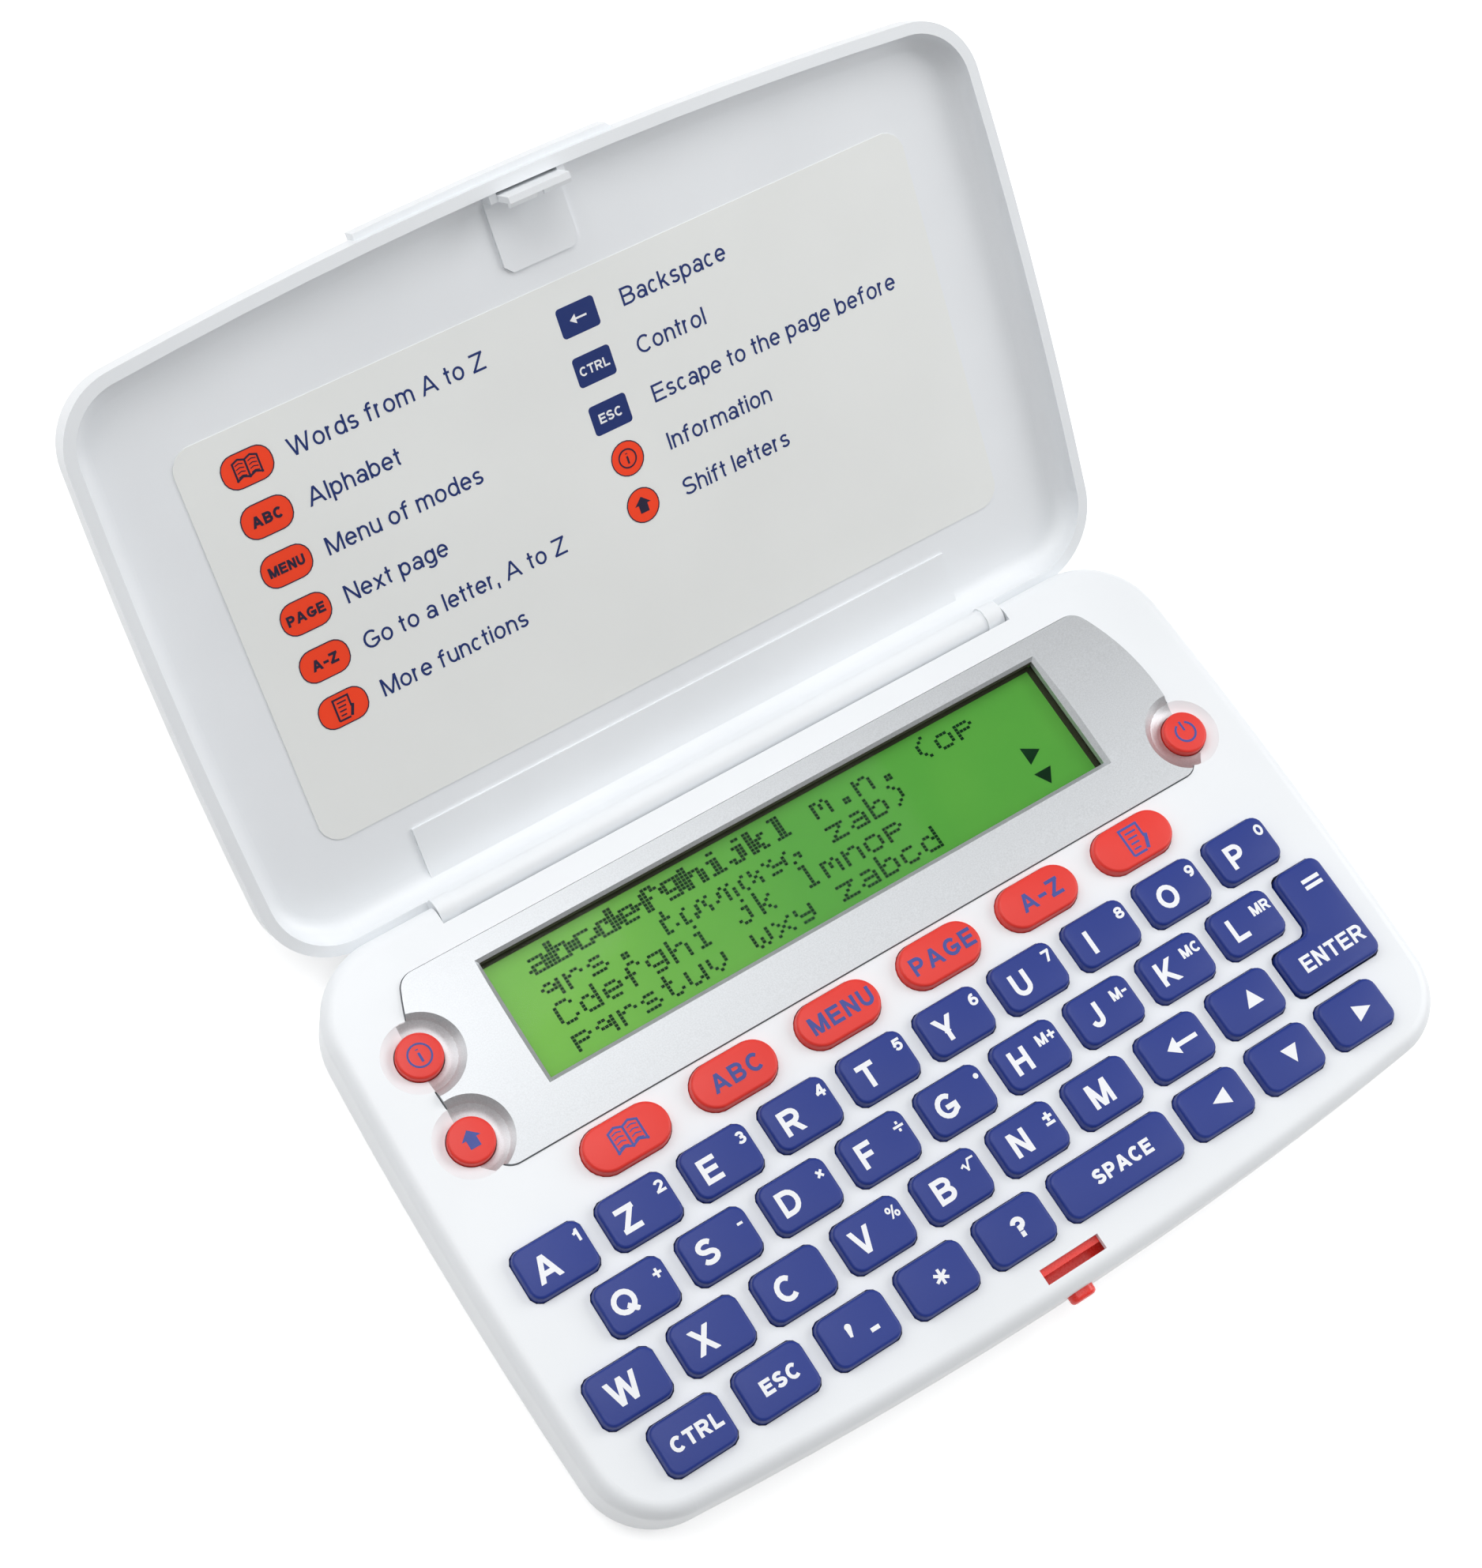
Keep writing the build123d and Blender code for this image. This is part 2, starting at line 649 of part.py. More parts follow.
def make_membrane():
    """The silicone sheet: a pad under the keyboard, a wing up each side, and a dome under each key."""
    pad_top = function_key_y + function_key_depth / 2 + sheet_margin
    wing_top = round_button_y + round_button_spacing + dome_radius + sheet_margin
    wing_inner = view_width / 2 + window_border + lcd_border + rib_thickness + sheet_margin
    area = Rectangle(case_width, case_depth)
    pad = Pos(0, pad_top - case_depth / 2) * area
    wings = Pos(0, wing_top - case_depth / 2) * (area - Rectangle(2 * wing_inner, case_depth))
    face = case_outline(board_inset + sheet_inset) & (pad + wings)
    sheet = prism(face, board_top, sheet_top)
    sheet -= around_screws(board_top, sheet_top) + [latch_bay(board_top, sheet_top)]
    # The bumper that pushes the latch slider back, then the domes.
    bumper_front = front_y + slider_rear + contact_gap
    added = [centred(bumper_width, bumper_front, front_y + latch_bay_rear, board_top, sheet_top)]
    dome_face = RegularPolygon(dome_radius, dome_sides)
    dome = extrude(dome_face, amount=dome_top - sheet_top, taper=dome_draft, dir=(0, 0, 1))
    for name, (_, (x, y)) in keys.items():
        if name == "key_enter":
            x, y = (enter_leg_left + enter_right) / 2, (row_y[1] + row_y[2]) / 2
        added.append(Pos(x, y, sheet_top) * dome)
    return sheet + added


def make_cells():
    cells = [post(cell_radius, x, door_y, cell_bottom, cell_top, cell_sides) for x in cell_places]
    return Compound(children=cells)


def make_door():
    plate = prism(
        Pos(0, door_y) * soft_rectangle(door_width, door_depth, door_corner, 3), 0, door_thickness
    )
    # A tab at the left hooks over the case floor, and a screw holds the right end.
    edge = -door_width / 2
    near = door_y - tab_width / 2
    far = door_y + tab_width / 2
    low = wall + contact_gap
    plate += slab(edge - tab_reach, edge + tab_root, near, far, low, low + tab_thickness)
    plate += slab(edge, edge + tab_root, near, far, door_thickness / 2, low + tab_thickness)
    plate -= post(screw_radius + part_gap, door_screw_x, door_y, 0, door_thickness, screw_sides)
    head_hole = screw_head_radius + part_gap
    return plate - post(head_hole, door_screw_x, door_y, 0, door_screw_seat, screw_sides)


def screw(x, y, low, seat, tip):
    """A screw from below: its head, then its shank."""
    head = post(screw_head_radius, x, y, low, seat, screw_sides)
    return head + post(screw_radius, x, y, seat, tip, screw_sides)


def make_screws():
    screws = [screw(x, y, screw_head_depth, screw_seat, screw_tip) for x, y in screw_places]
    door_tip = door_screw_seat + door_screw_length
    screws.append(screw(door_screw_x, door_y, door_screw_depth, door_screw_seat, door_tip))
    return Compound(children=screws)


def make_release_button():
    """The latch slider: a plate on rails, a knob through the front and a catch under the slot."""
    body = centred(slider_width, front_y + slider_front, front_y + slider_rear, slider_low, slider_top)
    body += centred(ledge_width, front_y + upright_front, front_y + upright_rear, slider_top, ledge_top)
    body += centred(ledge_width, front_y + ledge_front, front_y + upright_rear, ledge_low, ledge_top)
    knob_plane = Plane((0, front_y + slider_front, knob_z), x_dir=(1, 0, 0), z_dir=(0, -1, 0))
    knob_face = soft_rectangle(knob_width, knob_height, knob_height / 2, 3)
    knob = extrude(knob_plane * knob_face, slider_front + knob_proud)
    return body + chamfer(knob.edges().group_by(Axis.Y)[0], knob_edge)


# ---- Lid --------------------------------------------------------------------------------------
def make_hook():
    """The latch hook: a plate down from the panel, held to the front wall, with two barbs."""
    front = front_y + hook_front
    rear = front_y + hook_rear
    tip = front_y + barb_rear
    hook = centred(hook_width, front, rear, hook_tip, panel_level)
    wall_y = front_y + lid_inset + lid_wall / 2
    for side in (-1, 1):
        gusset = Pos(side * (hook_width + gusset_width) / 2, (wall_y + rear) / 2) * Rectangle(
            gusset_width, rear - wall_y
        )
        hook += prism(gusset, panel_level - gusset_height, panel_level)
    # A barb is a wedge that slopes in below, so that it rides over the catch.
    wedge = Polyline(
        (rear, hook_tip), (tip, hook_tip + barb_height / 2), (tip, barb_top), (rear, barb_top), close=True
    )
    side_plane = Plane((0, 0, 0), x_dir=(0, 1, 0), z_dir=(1, 0, 0))
    bar = extrude(side_plane * make_face(wedge), hook_width / 2, both=True)
    return hook + (bar - centred(barb_gap, rear, tip, hook_tip, barb_top))


def make_hinge_arm():
    """The lid's side of the hinge: a spine down from the rear wall, the roll and two knuckles."""
    spine_rear = rear_y - lid_inset
    arm = centred(2 * spine_half, spine_rear - lid_wall, spine_rear, hinge_z, rim_level + lid_wall)
    arm += cross_rod(roll_radius, -spine_half, spine_half)
    bore_end = hinge_half - pin_length - part_gap
    for side in (-1, 1):
        arm += cross_rod(knuckle_radius, side * (spine_half - knuckle_width), side * spine_half)
    for side in (-1, 1):
        arm -= cross_rod(pin_radius + pin_clearance, side * bore_end, side * hinge_half)
    return arm


def make_thumb_lip():
    """The raised ledge on the outside of the front wall."""
    low = rim_level + thumb_lip_low
    lip = prism(case_outline(lid_inset - thumb_lip_reach), low, low + thumb_lip_height)
    lip = lip & slab(
        thumb_lip_left, thumb_lip_right, front_y - wall, front_y + lid_inset + lid_wall, low, lid_top
    )
    lip = chamfer(lip.edges().filter_by(Axis.Z).group_by(Axis.Y)[0], thumb_lip_reach)
    return lip - prism(case_outline(lid_inset + lid_wall), rim_level, lid_top)


def make_lid():
    shell = prism(case_outline(lid_inset), rim_level, lid_top)
    shell = fillet(top_edges(shell), lid_edge_radius)
    cavity = prism(case_outline(lid_inset + lid_wall), rim_level, panel_level)
    shell -= fillet(top_edges(cavity), lid_cove_radius)
    # Raised web on the panel between the hinge arms.
    web_width = 2 * (spine_half - knuckle_width)
    web_rear = rear_y - lid_inset - lid_wall / 2
    web = centred(web_width, hinge_y - web_depth, web_rear, panel_level - web_rise, panel_level)
    # Raised pad on the panel at the foot of the hook, with its two far corners cut off.
    pad_y = front_y + lid_inset + lid_wall + pad_depth / 2
    pad = prism(Pos(0, pad_y) * Rectangle(pad_width, pad_depth), panel_level - pad_rise, panel_level)
    pad = chamfer(pad.edges().filter_by(Axis.Z).group_by(Axis.Y)[-1], pad_corner)
    return shell + [web, pad, make_hinge_arm(), make_thumb_lip(), make_hook()]


def make_label():
    front = front_y + label_front_margin
    rear = hinge_y - web_depth - label_web_gap
    face = soft_rectangle(case_width - 2 * label_side_margin, rear - front, label_corner, 4)
    return prism(Pos(0, (front + rear) / 2) * face, panel_level - label_thickness, panel_level)


def opened(part):
    """The lid's pieces, swung open about the hinge axis."""
    return part.rotate(Axis((0, hinge_y, hinge_z), (1, 0, 0)), -open_angle)


# ---- Write every piece ------------------------------------------------------------------------
os.makedirs("parts", exist_ok=True)
pieces = {
    "top_case": make_top_case(),
    "bottom_case": make_bottom_case(),
    "display_bezel": make_bezel(),
    "display_window": make_window(),
    "lcd_panel": make_lcd(),
    "circuit_board": make_board(),
    "keypad_membrane": make_membrane(),
    "coin_cells": make_cells(),
    "battery_door": make_door(),
    "case_screws": make_screws(),
    "release_button": make_release_button(),
    "lid": opened(make_lid()),
    "quick_reference_label": opened(make_label()),
}
for key_name, (key_outline, key_place) in keys.items():
    pieces[key_name] = make_key(key_outline, key_place)
for node, piece in pieces.items():
    export_step(piece, f"parts/{node}.step")
print(len(pieces), "parts written")
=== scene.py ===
import itertools
import json
import math

import bmesh
import bpy
from bpy.props import FloatProperty, FloatVectorProperty, IntProperty, PointerProperty
from mathutils import Matrix, Vector


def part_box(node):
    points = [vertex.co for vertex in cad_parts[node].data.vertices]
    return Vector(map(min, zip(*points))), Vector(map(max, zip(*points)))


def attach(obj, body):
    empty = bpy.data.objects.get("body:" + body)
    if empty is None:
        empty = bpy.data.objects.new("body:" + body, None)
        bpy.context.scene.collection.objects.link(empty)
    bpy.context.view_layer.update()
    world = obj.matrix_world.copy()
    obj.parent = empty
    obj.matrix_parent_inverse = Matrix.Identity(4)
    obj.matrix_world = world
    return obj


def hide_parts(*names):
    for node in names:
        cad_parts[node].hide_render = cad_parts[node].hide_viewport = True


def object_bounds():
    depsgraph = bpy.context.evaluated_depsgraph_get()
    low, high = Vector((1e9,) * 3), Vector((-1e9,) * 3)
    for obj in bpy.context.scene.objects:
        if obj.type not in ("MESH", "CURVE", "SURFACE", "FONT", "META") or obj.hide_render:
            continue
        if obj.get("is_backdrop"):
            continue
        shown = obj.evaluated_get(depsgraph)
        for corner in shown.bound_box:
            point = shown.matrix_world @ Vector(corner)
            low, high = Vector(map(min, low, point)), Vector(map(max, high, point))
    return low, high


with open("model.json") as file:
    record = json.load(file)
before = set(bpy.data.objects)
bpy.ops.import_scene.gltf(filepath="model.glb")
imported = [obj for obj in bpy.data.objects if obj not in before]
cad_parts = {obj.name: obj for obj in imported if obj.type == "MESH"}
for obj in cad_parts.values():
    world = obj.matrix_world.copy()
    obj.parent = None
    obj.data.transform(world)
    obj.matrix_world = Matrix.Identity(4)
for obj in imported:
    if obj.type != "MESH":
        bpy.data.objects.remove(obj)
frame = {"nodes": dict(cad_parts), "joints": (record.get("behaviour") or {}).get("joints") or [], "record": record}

CAD_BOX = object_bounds()

bl_info = {
    "name": "Pocket dictionary looks",
    "version": (1, 0, 0),
    "blender": (4, 5, 0),
    "location": "3D View > Sidebar > Dictionary",
    "description": "Key caps, prints, display and finishes of a pocket electronic dictionary",
    "category": "Object",
}

MM = 0.001
NODES = frame["nodes"]
BODIES = {node: body for body, nodes in frame["record"]["behaviour"]["bodies"].items() for node in nodes}
LID_JOINT = next(joint for joint in frame["joints"] if joint["name"] == "lid_hinge")
HINGE = Vector(LID_JOINT["pos_m"])
OPEN_ANGLE = -math.radians(LID_JOINT["range_deg"][1])


# ---- Helpers ----------------------------------------------------------------------------------
def linear(code):
    """A hex sRGB colour as the linear colour that a shader reads."""
    parts = [int(code[i:i + 2], 16) / 255 for i in (1, 3, 5)]
    return [c / 12.92 if c <= 0.04045 else ((c + 0.055) / 1.055) ** 2.4 for c in parts]


def add_node(tree, kind, inputs=None, **settings):
    """Adds a node with its settings; each input gets a value or a link from another node's socket."""
    node = tree.nodes.new(kind)
    for name, value in settings.items():
        setattr(node, name, value)
    for name, value in (inputs or {}).items():
        if isinstance(value, bpy.types.NodeSocket):
            tree.links.new(value, node.inputs[name])
        else:
            node.inputs[name].default_value = value
    return node


def new_material(name):
    material = bpy.data.materials.new(name)
    material.use_nodes = True
    material.node_tree.nodes.clear()
    return material, material.node_tree


def rgba(colour):
    return list(colour)[:3] + [1.0]


def place(tree):
    """The point being shaded, in the piece's own coordinates, in metres."""
    return add_node(tree, "ShaderNodeTexCoord").outputs["Object"]


def grain(tree, size, detail=2.0):
    """Noise whose grains are about one size across, in millimetres."""
    inputs = {"Vector": place(tree), "Scale": 1 / (size * MM), "Detail": detail}
    return add_node(tree, "ShaderNodeTexNoise", inputs).outputs["Fac"]


def spread(tree, value, low, high):
    """Noise drawn out to a range of values."""
    inputs = {"Value": value, "From Min": 0.3, "From Max": 0.7, "To Min": low, "To Max": high}
    return add_node(tree, "ShaderNodeMapRange", inputs).outputs["Result"]


def shaded(tree, fac, dark, light):
    """A colour between two, by a factor."""
    inputs = {"Factor": fac, "A": rgba(dark), "B": rgba(light)}
    return add_node(tree, "ShaderNodeMix", inputs, data_type="RGBA").outputs["Result"]


def surface(tree, inputs, height=None, depth=0.0):
    """Ends a material in a Principled shader, with a bump whose depth is in millimetres."""
    if height is not None:
        bump = add_node(tree, "ShaderNodeBump", {"Height": height, "Distance": depth * MM})
        inputs = {**inputs, "Normal": bump.outputs["Normal"]}
    shader = add_node(tree, "ShaderNodeBsdfPrincipled", inputs)
    add_node(tree, "ShaderNodeOutputMaterial", {"Surface": shader.outputs["BSDF"]})


def scaled(colour, factor):
    return [min(c * factor, 1.0) for c in list(colour)[:3]]


def moulded(name, colour, roughness, texture=0.35, depth=0.004, unevenness=0.04, ior=1.53):
    """A moulded plastic: a fine spark-eroded texture, and a tone that drifts slightly with the flow."""
    material, tree = new_material(name)
    drift = spread(tree, grain(tree, 22.0), 0.0, 1.0)
    fine = grain(tree, texture, 3.0)
    surface(tree, {
        "Base Color": shaded(tree, drift, scaled(colour, 1 - unevenness), colour),
        "Roughness": spread(tree, fine, roughness - 0.04, roughness + 0.04),
        "IOR": ior,
    }, fine, depth)
    return material


def bare_metal(name, dark, light, size, detail, gloss):
    """Bright metal with a slightly uneven sheen."""
    material, tree = new_material(name)
    rub = grain(tree, size, detail)
    surface(tree, {
        "Base Color": shaded(tree, spread(tree, rub, 0, 1), linear(dark), linear(light)),
        "Metallic": 1.0, "Roughness": spread(tree, rub, gloss, 0.4),
    }, rub, 0.003)
    return material


def new_object(name, data):
    item = bpy.data.objects.new(name, data)
    bpy.context.scene.collection.objects.link(item)
    return item


def mesh_of(name, bm, materials):
    """Turns a bmesh into a mesh with its materials."""
    mesh = bpy.data.meshes.new(name)
    bm.to_mesh(mesh)
    bm.free()
    for material in materials:
        mesh.materials.append(material)
    return mesh


def piece(name, bm, materials, body, slot, replaced=None):
    """Makes a mesh a piece: it rides on a body, and may stand for a node of the frame."""
    item = new_object(name, mesh_of(name, bm, materials))
    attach(item, body)
    if replaced:
        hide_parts(replaced)


def finish(material, *nodes):
    """Gives nodes of the frame a material."""
    for node in nodes:
        NODES[node].data.materials[0] = material


def smooth_by_angle(bm, degrees=30.0):
    """Smooth shading, with sharp edges where two faces meet at more than an angle."""
    for face in bm.faces:
        face.smooth = True
    for edge in bm.edges:
        edge.smooth = len(edge.link_faces) == 2 and edge.calc_face_angle(0.0) < math.radians(degrees)


def upright_edges(bm):
    return [e for e in bm.edges if abs((e.verts[0].co - e.verts[1].co).normalized().z) > 0.99]


def edges_at(bm, level):
    return [e for e in bm.edges if all(abs(v.co.z - level) < 1e-7 for v in e.verts)]


def bevel(bm, edges, size, segments):
    return bmesh.ops.bevel(
        bm, geom=edges, offset=size, offset_type="OFFSET", segments=segments, profile=0.5,
        affect="EDGES", clamp_overlap=True, material=-1,
    )


def add_block(bm, low, high):
    """A straight block between two corners."""
    low = Vector(low)
    high = Vector(high)
    matrix = Matrix.LocRotScale((low + high) / 2, None, high - low)
    bmesh.ops.create_cube(bm, size=1.0, matrix=matrix)


def everything(bm):
    return [*bm.verts, *bm.edges, *bm.faces]


def cut_off(bm, parts, point, normal):
    """Takes away what lies beyond a plane and closes the cut. Gives the parts that are left."""
    result = bmesh.ops.bisect_plane(bm, geom=parts, plane_co=point, plane_no=normal, clear_outer=True)
    rim = [e for e in result["geom_cut"] if isinstance(e, bmesh.types.BMEdge)]
    bmesh.ops.holes_fill(bm, edges=rim, sides=0)
    return result["geom"]


def add_flat(bm, points, low, high):
    """A flat shape with straight sides, raised between two levels."""
    face = bm.faces.new([bm.verts.new((x, y, low)) for x, y in points])
    face.normal_update()
    if face.normal.z < 0:
        face.normal_flip()
    raised = bmesh.ops.extrude_face_region(bm, geom=[face], use_keep_orig=True)["geom"]
    verts = [v for v in raised if isinstance(v, bmesh.types.BMVert)]
    bmesh.ops.translate(bm, verts=verts, vec=(0, 0, high - low))
    face.normal_flip()


# ---- Prints: words, signs and lines of ink, drawn about the origin in millimetres -------------
INK = 0.02
INK_LAYERS = 40
INK_LAYER = 0.0004
ARC_STEP = 20
# Shares of a stroke's width: what counts as touching, how far a stroke runs past a letter's foot or
# top before it is cut, and the longest mitre.
TOUCH = 1 / 20
OVERRUN = 0.8
LONGEST_MITRE = 1.3
# A run is upright or level if it leans by less than this share of its length.
LEAN = 0.02
CUT_CLEARANCE = 0.01
# Letters as pen strokes in a box one capital high: the letter, the box's width, then strokes of x,y
# points, with x and y from 0 to 1 along the pen's middle line. A y of _ or ^ is the box's own foot or
# top, where a slanted stroke is cut off level. An @ run is an arc: middle, radii, two angles.
GLYPHS = """
A .96|0,_ .5,^ 1,_;.24,.27 .76,.27
B .81|0,0 0,1 .5,1 @.52,.76,.42,.24,90,-90 0,.52;0,.52 .55,.52 @.58,.26,.42,.26,90,-90 0,0
C .84|@.55,.5,.55,.5,46,314
D .84|0,0 0,1 .42,1 @.42,.5,.58,.5,90,-90 0,0
E .75|1,1 0,1 0,0 1,0;0,.52 .9,.52
F .67|1,1 0,1 0,0;0,.5 .85,.5
G .90|@.52,.5,.52,.5,46,316 1,.2 1,.43 .58,.43
H .78|0,0 0,1;1,0 1,1;0,.52 1,.52
I .01|.5,0 .5,1
J .63|1,1 1,.3 @.5,.3,.5,.3,0,-170
K .87|0,0 0,1;0,.22 .94,^;.3,.52 .98,_
L .70|0,1 0,0 1,0
M .96|0,0 0,1;1,0 1,1;.02,^ .5,_ .98,^
N .78|0,0 0,1;1,0 1,1;0,^ 1,_
O .93|@.5,.5,.5,.5,0,360
P .76|0,0 0,1 .55,1 @.57,.72,.43,.28,90,-90 0,.44
Q .98|@.5,.52,.5,.48,0,360;.56,.32 1,-.08
R .85|0,0 0,1 .55,1 @.55,.72,.4,.28,90,-90 0,.44;.52,.44 .96,_
S .79|@.5,.75,.47,.25,28,270 @.5,.25,.5,.25,90,-155
T .76|0,1 1,1;.5,0 .5,1
U .78|0,1 0,.36 @.5,.36,.5,.36,180,360 1,1
V .88|0,^ .5,_ 1,^
W 1.28|0,^ .26,_ .5,^ .74,_ 1,^
X .87|0,_ 1,^;0,^ 1,_
Y .88|0,^ .5,.42 1,^;.5,0 .5,.44
Z .79|0,1 1,1;0,0 1,0;.02,.02 .98,.98
0 .78|@.5,.5,.5,.5,0,360
1 .56|1,0 1,1;0,.68 .5,.75 .95,1
2 .80|@.5,.72,.46,.28,165,-35 0,0 1,0
3 .78|@.48,.75,.42,.25,155,-80 .4,.52;.4,.52 @.48,.27,.5,.27,80,-155
4 .84|.74,0 .74,1;.74,^ 0,.28 1,.28
5 .78|.92,1 .16,1 .06,.5 @.47,.32,.5,.32,128,-150
6 .78|@.5,.31,.48,.31,0,360;@.62,.42,.6,.58,70,180
7 .76|0,1 1,1 .3,_
8 .80|@.5,.76,.42,.24,0,360;@.5,.26,.5,.26,0,360
9 .78|@.5,.69,.48,.31,0,360;@.38,.58,.6,.58,0,-110
a .62|1,0 1,.46 @.54,.46,.46,.26,0,155;@.45,.2,.45,.2,0,360
b .64|0,0 0,1;@.5,.36,.5,.36,0,360
c .58|@.5,.36,.5,.36,45,315
d .64|1,0 1,1;@.5,.36,.5,.36,0,360
e .64|0,.37 1,.37 @.5,.36,.5,.36,0,318
f .44|.32,0 .32,.74 @.85,.74,.53,.26,180,80;0,.7 .85,.7
g .64|@.5,.36,.5,.36,0,360;1,.72 1,-.06 @.5,-.06,.5,.24,0,-150
h .60|0,0 0,1;0,.42 @.5,.42,.5,.3,180,0 1,0
i .01|.5,0 .5,.72;.5,.96 .5,1
k .58|0,0 0,1;0,.26 .9,.72;.34,.44 .96,_
l .01|.5,0 .5,1
m .98|0,0 0,.72;0,.46 @.25,.46,.25,.26,180,0 .5,0;.5,.46 @.75,.46,.25,.26,180,0 1,0
n .60|0,0 0,.72;0,.42 @.5,.42,.5,.3,180,0 1,0
o .66|@.5,.36,.5,.36,0,360
p .64|0,-.3 0,.72;@.5,.36,.5,.36,0,360
r .36|0,0 0,.72;0,.38 @.8,.38,.8,.34,180,95
s .56|@.5,.54,.45,.18,28,270 @.5,.18,.5,.18,90,-155
t .34|.42,.95 .42,.14 @.85,.14,.43,.14,180,270;0,.7 1,.7
u .60|0,.72 0,.3 @.5,.3,.5,.3,180,360;1,.72 1,0
x .60|0,_ 1,.72;0,.72 1,_
\u00d7 .80|.06,.16 .94,.88;.06,.88 .94,.16
+ .76|0,.5 1,.5;.5,.12 .5,.88
- .50|0,.42 1,.42
\u00f7 .95|0,.5 1,.5;.5,.92 .5,.96;.5,.04 .5,.08
\u00b1 .72|0,.64 1,.64;.5,.36 .5,.92;0,0 1,0
\u2022 .46|@.5,.72,.5,.16,0,360
% 1.06|@.17,.78,.17,.22,0,360;@.83,.22,.17,.22,0,360;.25,_ .75,^
? .74|@.5,.72,.48,.28,170,-60 .5,.46 .5,.4;.5,0 .5,.04
, .10|.6,.04 .2,-.18
  .22|
"""
LETTERS = {line[0]: line[2:] for line in GLYPHS[1:-1].split("\n")}


def pen_strokes(letter, width, height, pen):
    """One letter's strokes as lists of points, filling a box to its edges whatever the pen's width."""
    def spot(x, y):
        level = {"_": 0.0, "^": height}.get(y)
        if level is None:
            level = pen / 2 + float(y) * (height - pen)
        return Vector((pen / 2 + float(x) * (width - pen), level))

    for stroke in LETTERS[letter].split("|")[1].split(";"):
        points = []
        for token in stroke.split():
            if token[0] == "@":
                x, y, rx, ry, start, end = (float(v) for v in token[1:].split(","))
                count = max(3, round(abs(end - start) / ARC_STEP))
                run = [spot(x + rx * px, y + ry * py) for px, py in arc(1.0, start, end, count)]
            else:
                run = [spot(*token.split(","))]
            if points and (points[-1] - run[0]).length < pen * TOUCH:
                run = run[1:]
            points += run
        if points:
            yield points


class Print:
    """Ink on a flat surface: gathers words and lines, then becomes a piece."""

    def __init__(self, surface_level):
        self.bm = bmesh.new()
        self.low = surface_level / MM - INK / 2
        self.high = surface_level / MM + INK
        self.strokes = 0

    def words(self, text, x, y, height, weight=0.2, align="CENTER", spacing=0.13):
        """Words whose capitals are one height tall, by the middle or the left end of their line."""
        pen = height * weight
        widths = [max(float(LETTERS[letter].split("|")[0]) * height, pen) for letter in text]
        gap = height * spacing
        total = sum(widths) + gap * (len(text) - 1)
        left = x - total / 2 if align == "CENTER" else x
        for letter, width in zip(text, widths):
            for points in pen_strokes(letter, width, height, pen):
                self.line(points, pen, left, y - height / 2, (width, height))
            left += width + gap

    def shape(self, points, x=0.0, y=0.0):
        add_flat(self.bm, [(x + px, y + py) for px, py in points], self.low, self.high)

    def line(self, points, width, x=0.0, y=0.0, box=None):
        """A line of even width along points. In a letter's box, what runs past its edges is cut off."""
        points = [Vector(point) for point in points]
        runs = [end - start for start, end in zip(points, points[1:])]
        near = width * TOUCH
        closed = (points[0] - points[-1]).length < near
        # Each block stands a hair above the last, so that no two faces lie in one plane.
        for i, run in enumerate(runs):
            before = runs[i - 1] if i or closed else None
            after = runs[(i + 1) % len(runs)] if i + 1 < len(runs) or closed else None
            back = self.reach(run, before, points[i].y, width, box)
            ahead = self.reach(run, after, points[i + 1].y, width, box)
            length = run.length + back + ahead
            centre = points[i] + run.normalized() * (length / 2 - back)
            self.strokes += 1
            high = self.high + self.strokes % INK_LAYERS * INK_LAYER
            verts = bmesh.ops.create_cube(self.bm, size=1.0, matrix=(
                Matrix.Translation((x + centre.x, y + centre.y, (self.low + high) / 2))
                @ Matrix.Rotation(math.atan2(run.y, run.x), 4, "Z")
                @ Matrix.Diagonal((length, width, high - self.low, 1.0))
            ))["verts"]
            if box is not None:
                verts = self.cut(verts, Vector((x, 0, 0)), (-1, 0, 0))
                verts = self.cut(verts, Vector((x + box[0], 0, 0)), (1, 0, 0))
                if min(point.y for point in points) > -near:
                    verts = self.cut(verts, Vector((0, y, 0)), (0, -1, 0))
                if max(point.y for point in points) < box[1] + near:
                    self.cut(verts, Vector((0, y + box[1], 0)), (0, 1, 0))

    def reach(self, run, other, level, width, box):
        """How far a stroke's block runs on past its end, into a bend or to a letter's foot or top."""
        if box is not None and min(abs(level), abs(box[1] - level)) < width * TOUCH:
            return width * OVERRUN
        if other is not None:
            return width / 2 * min(math.tan(other.angle(run) / 2), LONGEST_MITRE)
        if box is None:
            return 0.0
        return width / 2 if min(abs(run.x), abs(run.y)) < LEAN * run.length else 0.0

    def cut(self, verts, point, normal):
        """Cuts a stroke's block off square beyond a plane, and gives what is left of its corners."""
        if all((v.co - point).dot(Vector(normal)) <= CUT_CLEARANCE for v in verts):
            return verts
        # Kept in order, unlike in a set, so that each run gives the same mesh.
        faces = dict.fromkeys(face for v in verts for face in v.link_faces)
        edges = dict.fromkeys(edge for v in verts for edge in v.link_edges)
        left = cut_off(self.bm, [*verts, *edges, *faces], point, normal)
        return [part for part in left if part.is_valid and isinstance(part, bmesh.types.BMVert)]

    def make(self, name, material, body, slot, turn=None):
        bmesh.ops.scale(self.bm, vec=(MM, MM, MM), verts=self.bm.verts)
        if turn is not None:
            bmesh.ops.transform(self.bm, matrix=turn, verts=self.bm.verts)
        piece(name, self.bm, [material], body, slot)


def arc(radius, start, end, count, x=0.0, y=0.0):
    """Points along an arc, between two angles in degrees."""
    turns = [math.radians(start + (end - start) * i / count) for i in range(count + 1)]
    return [(x + radius * math.cos(t), y + radius * math.sin(t)) for t in turns]


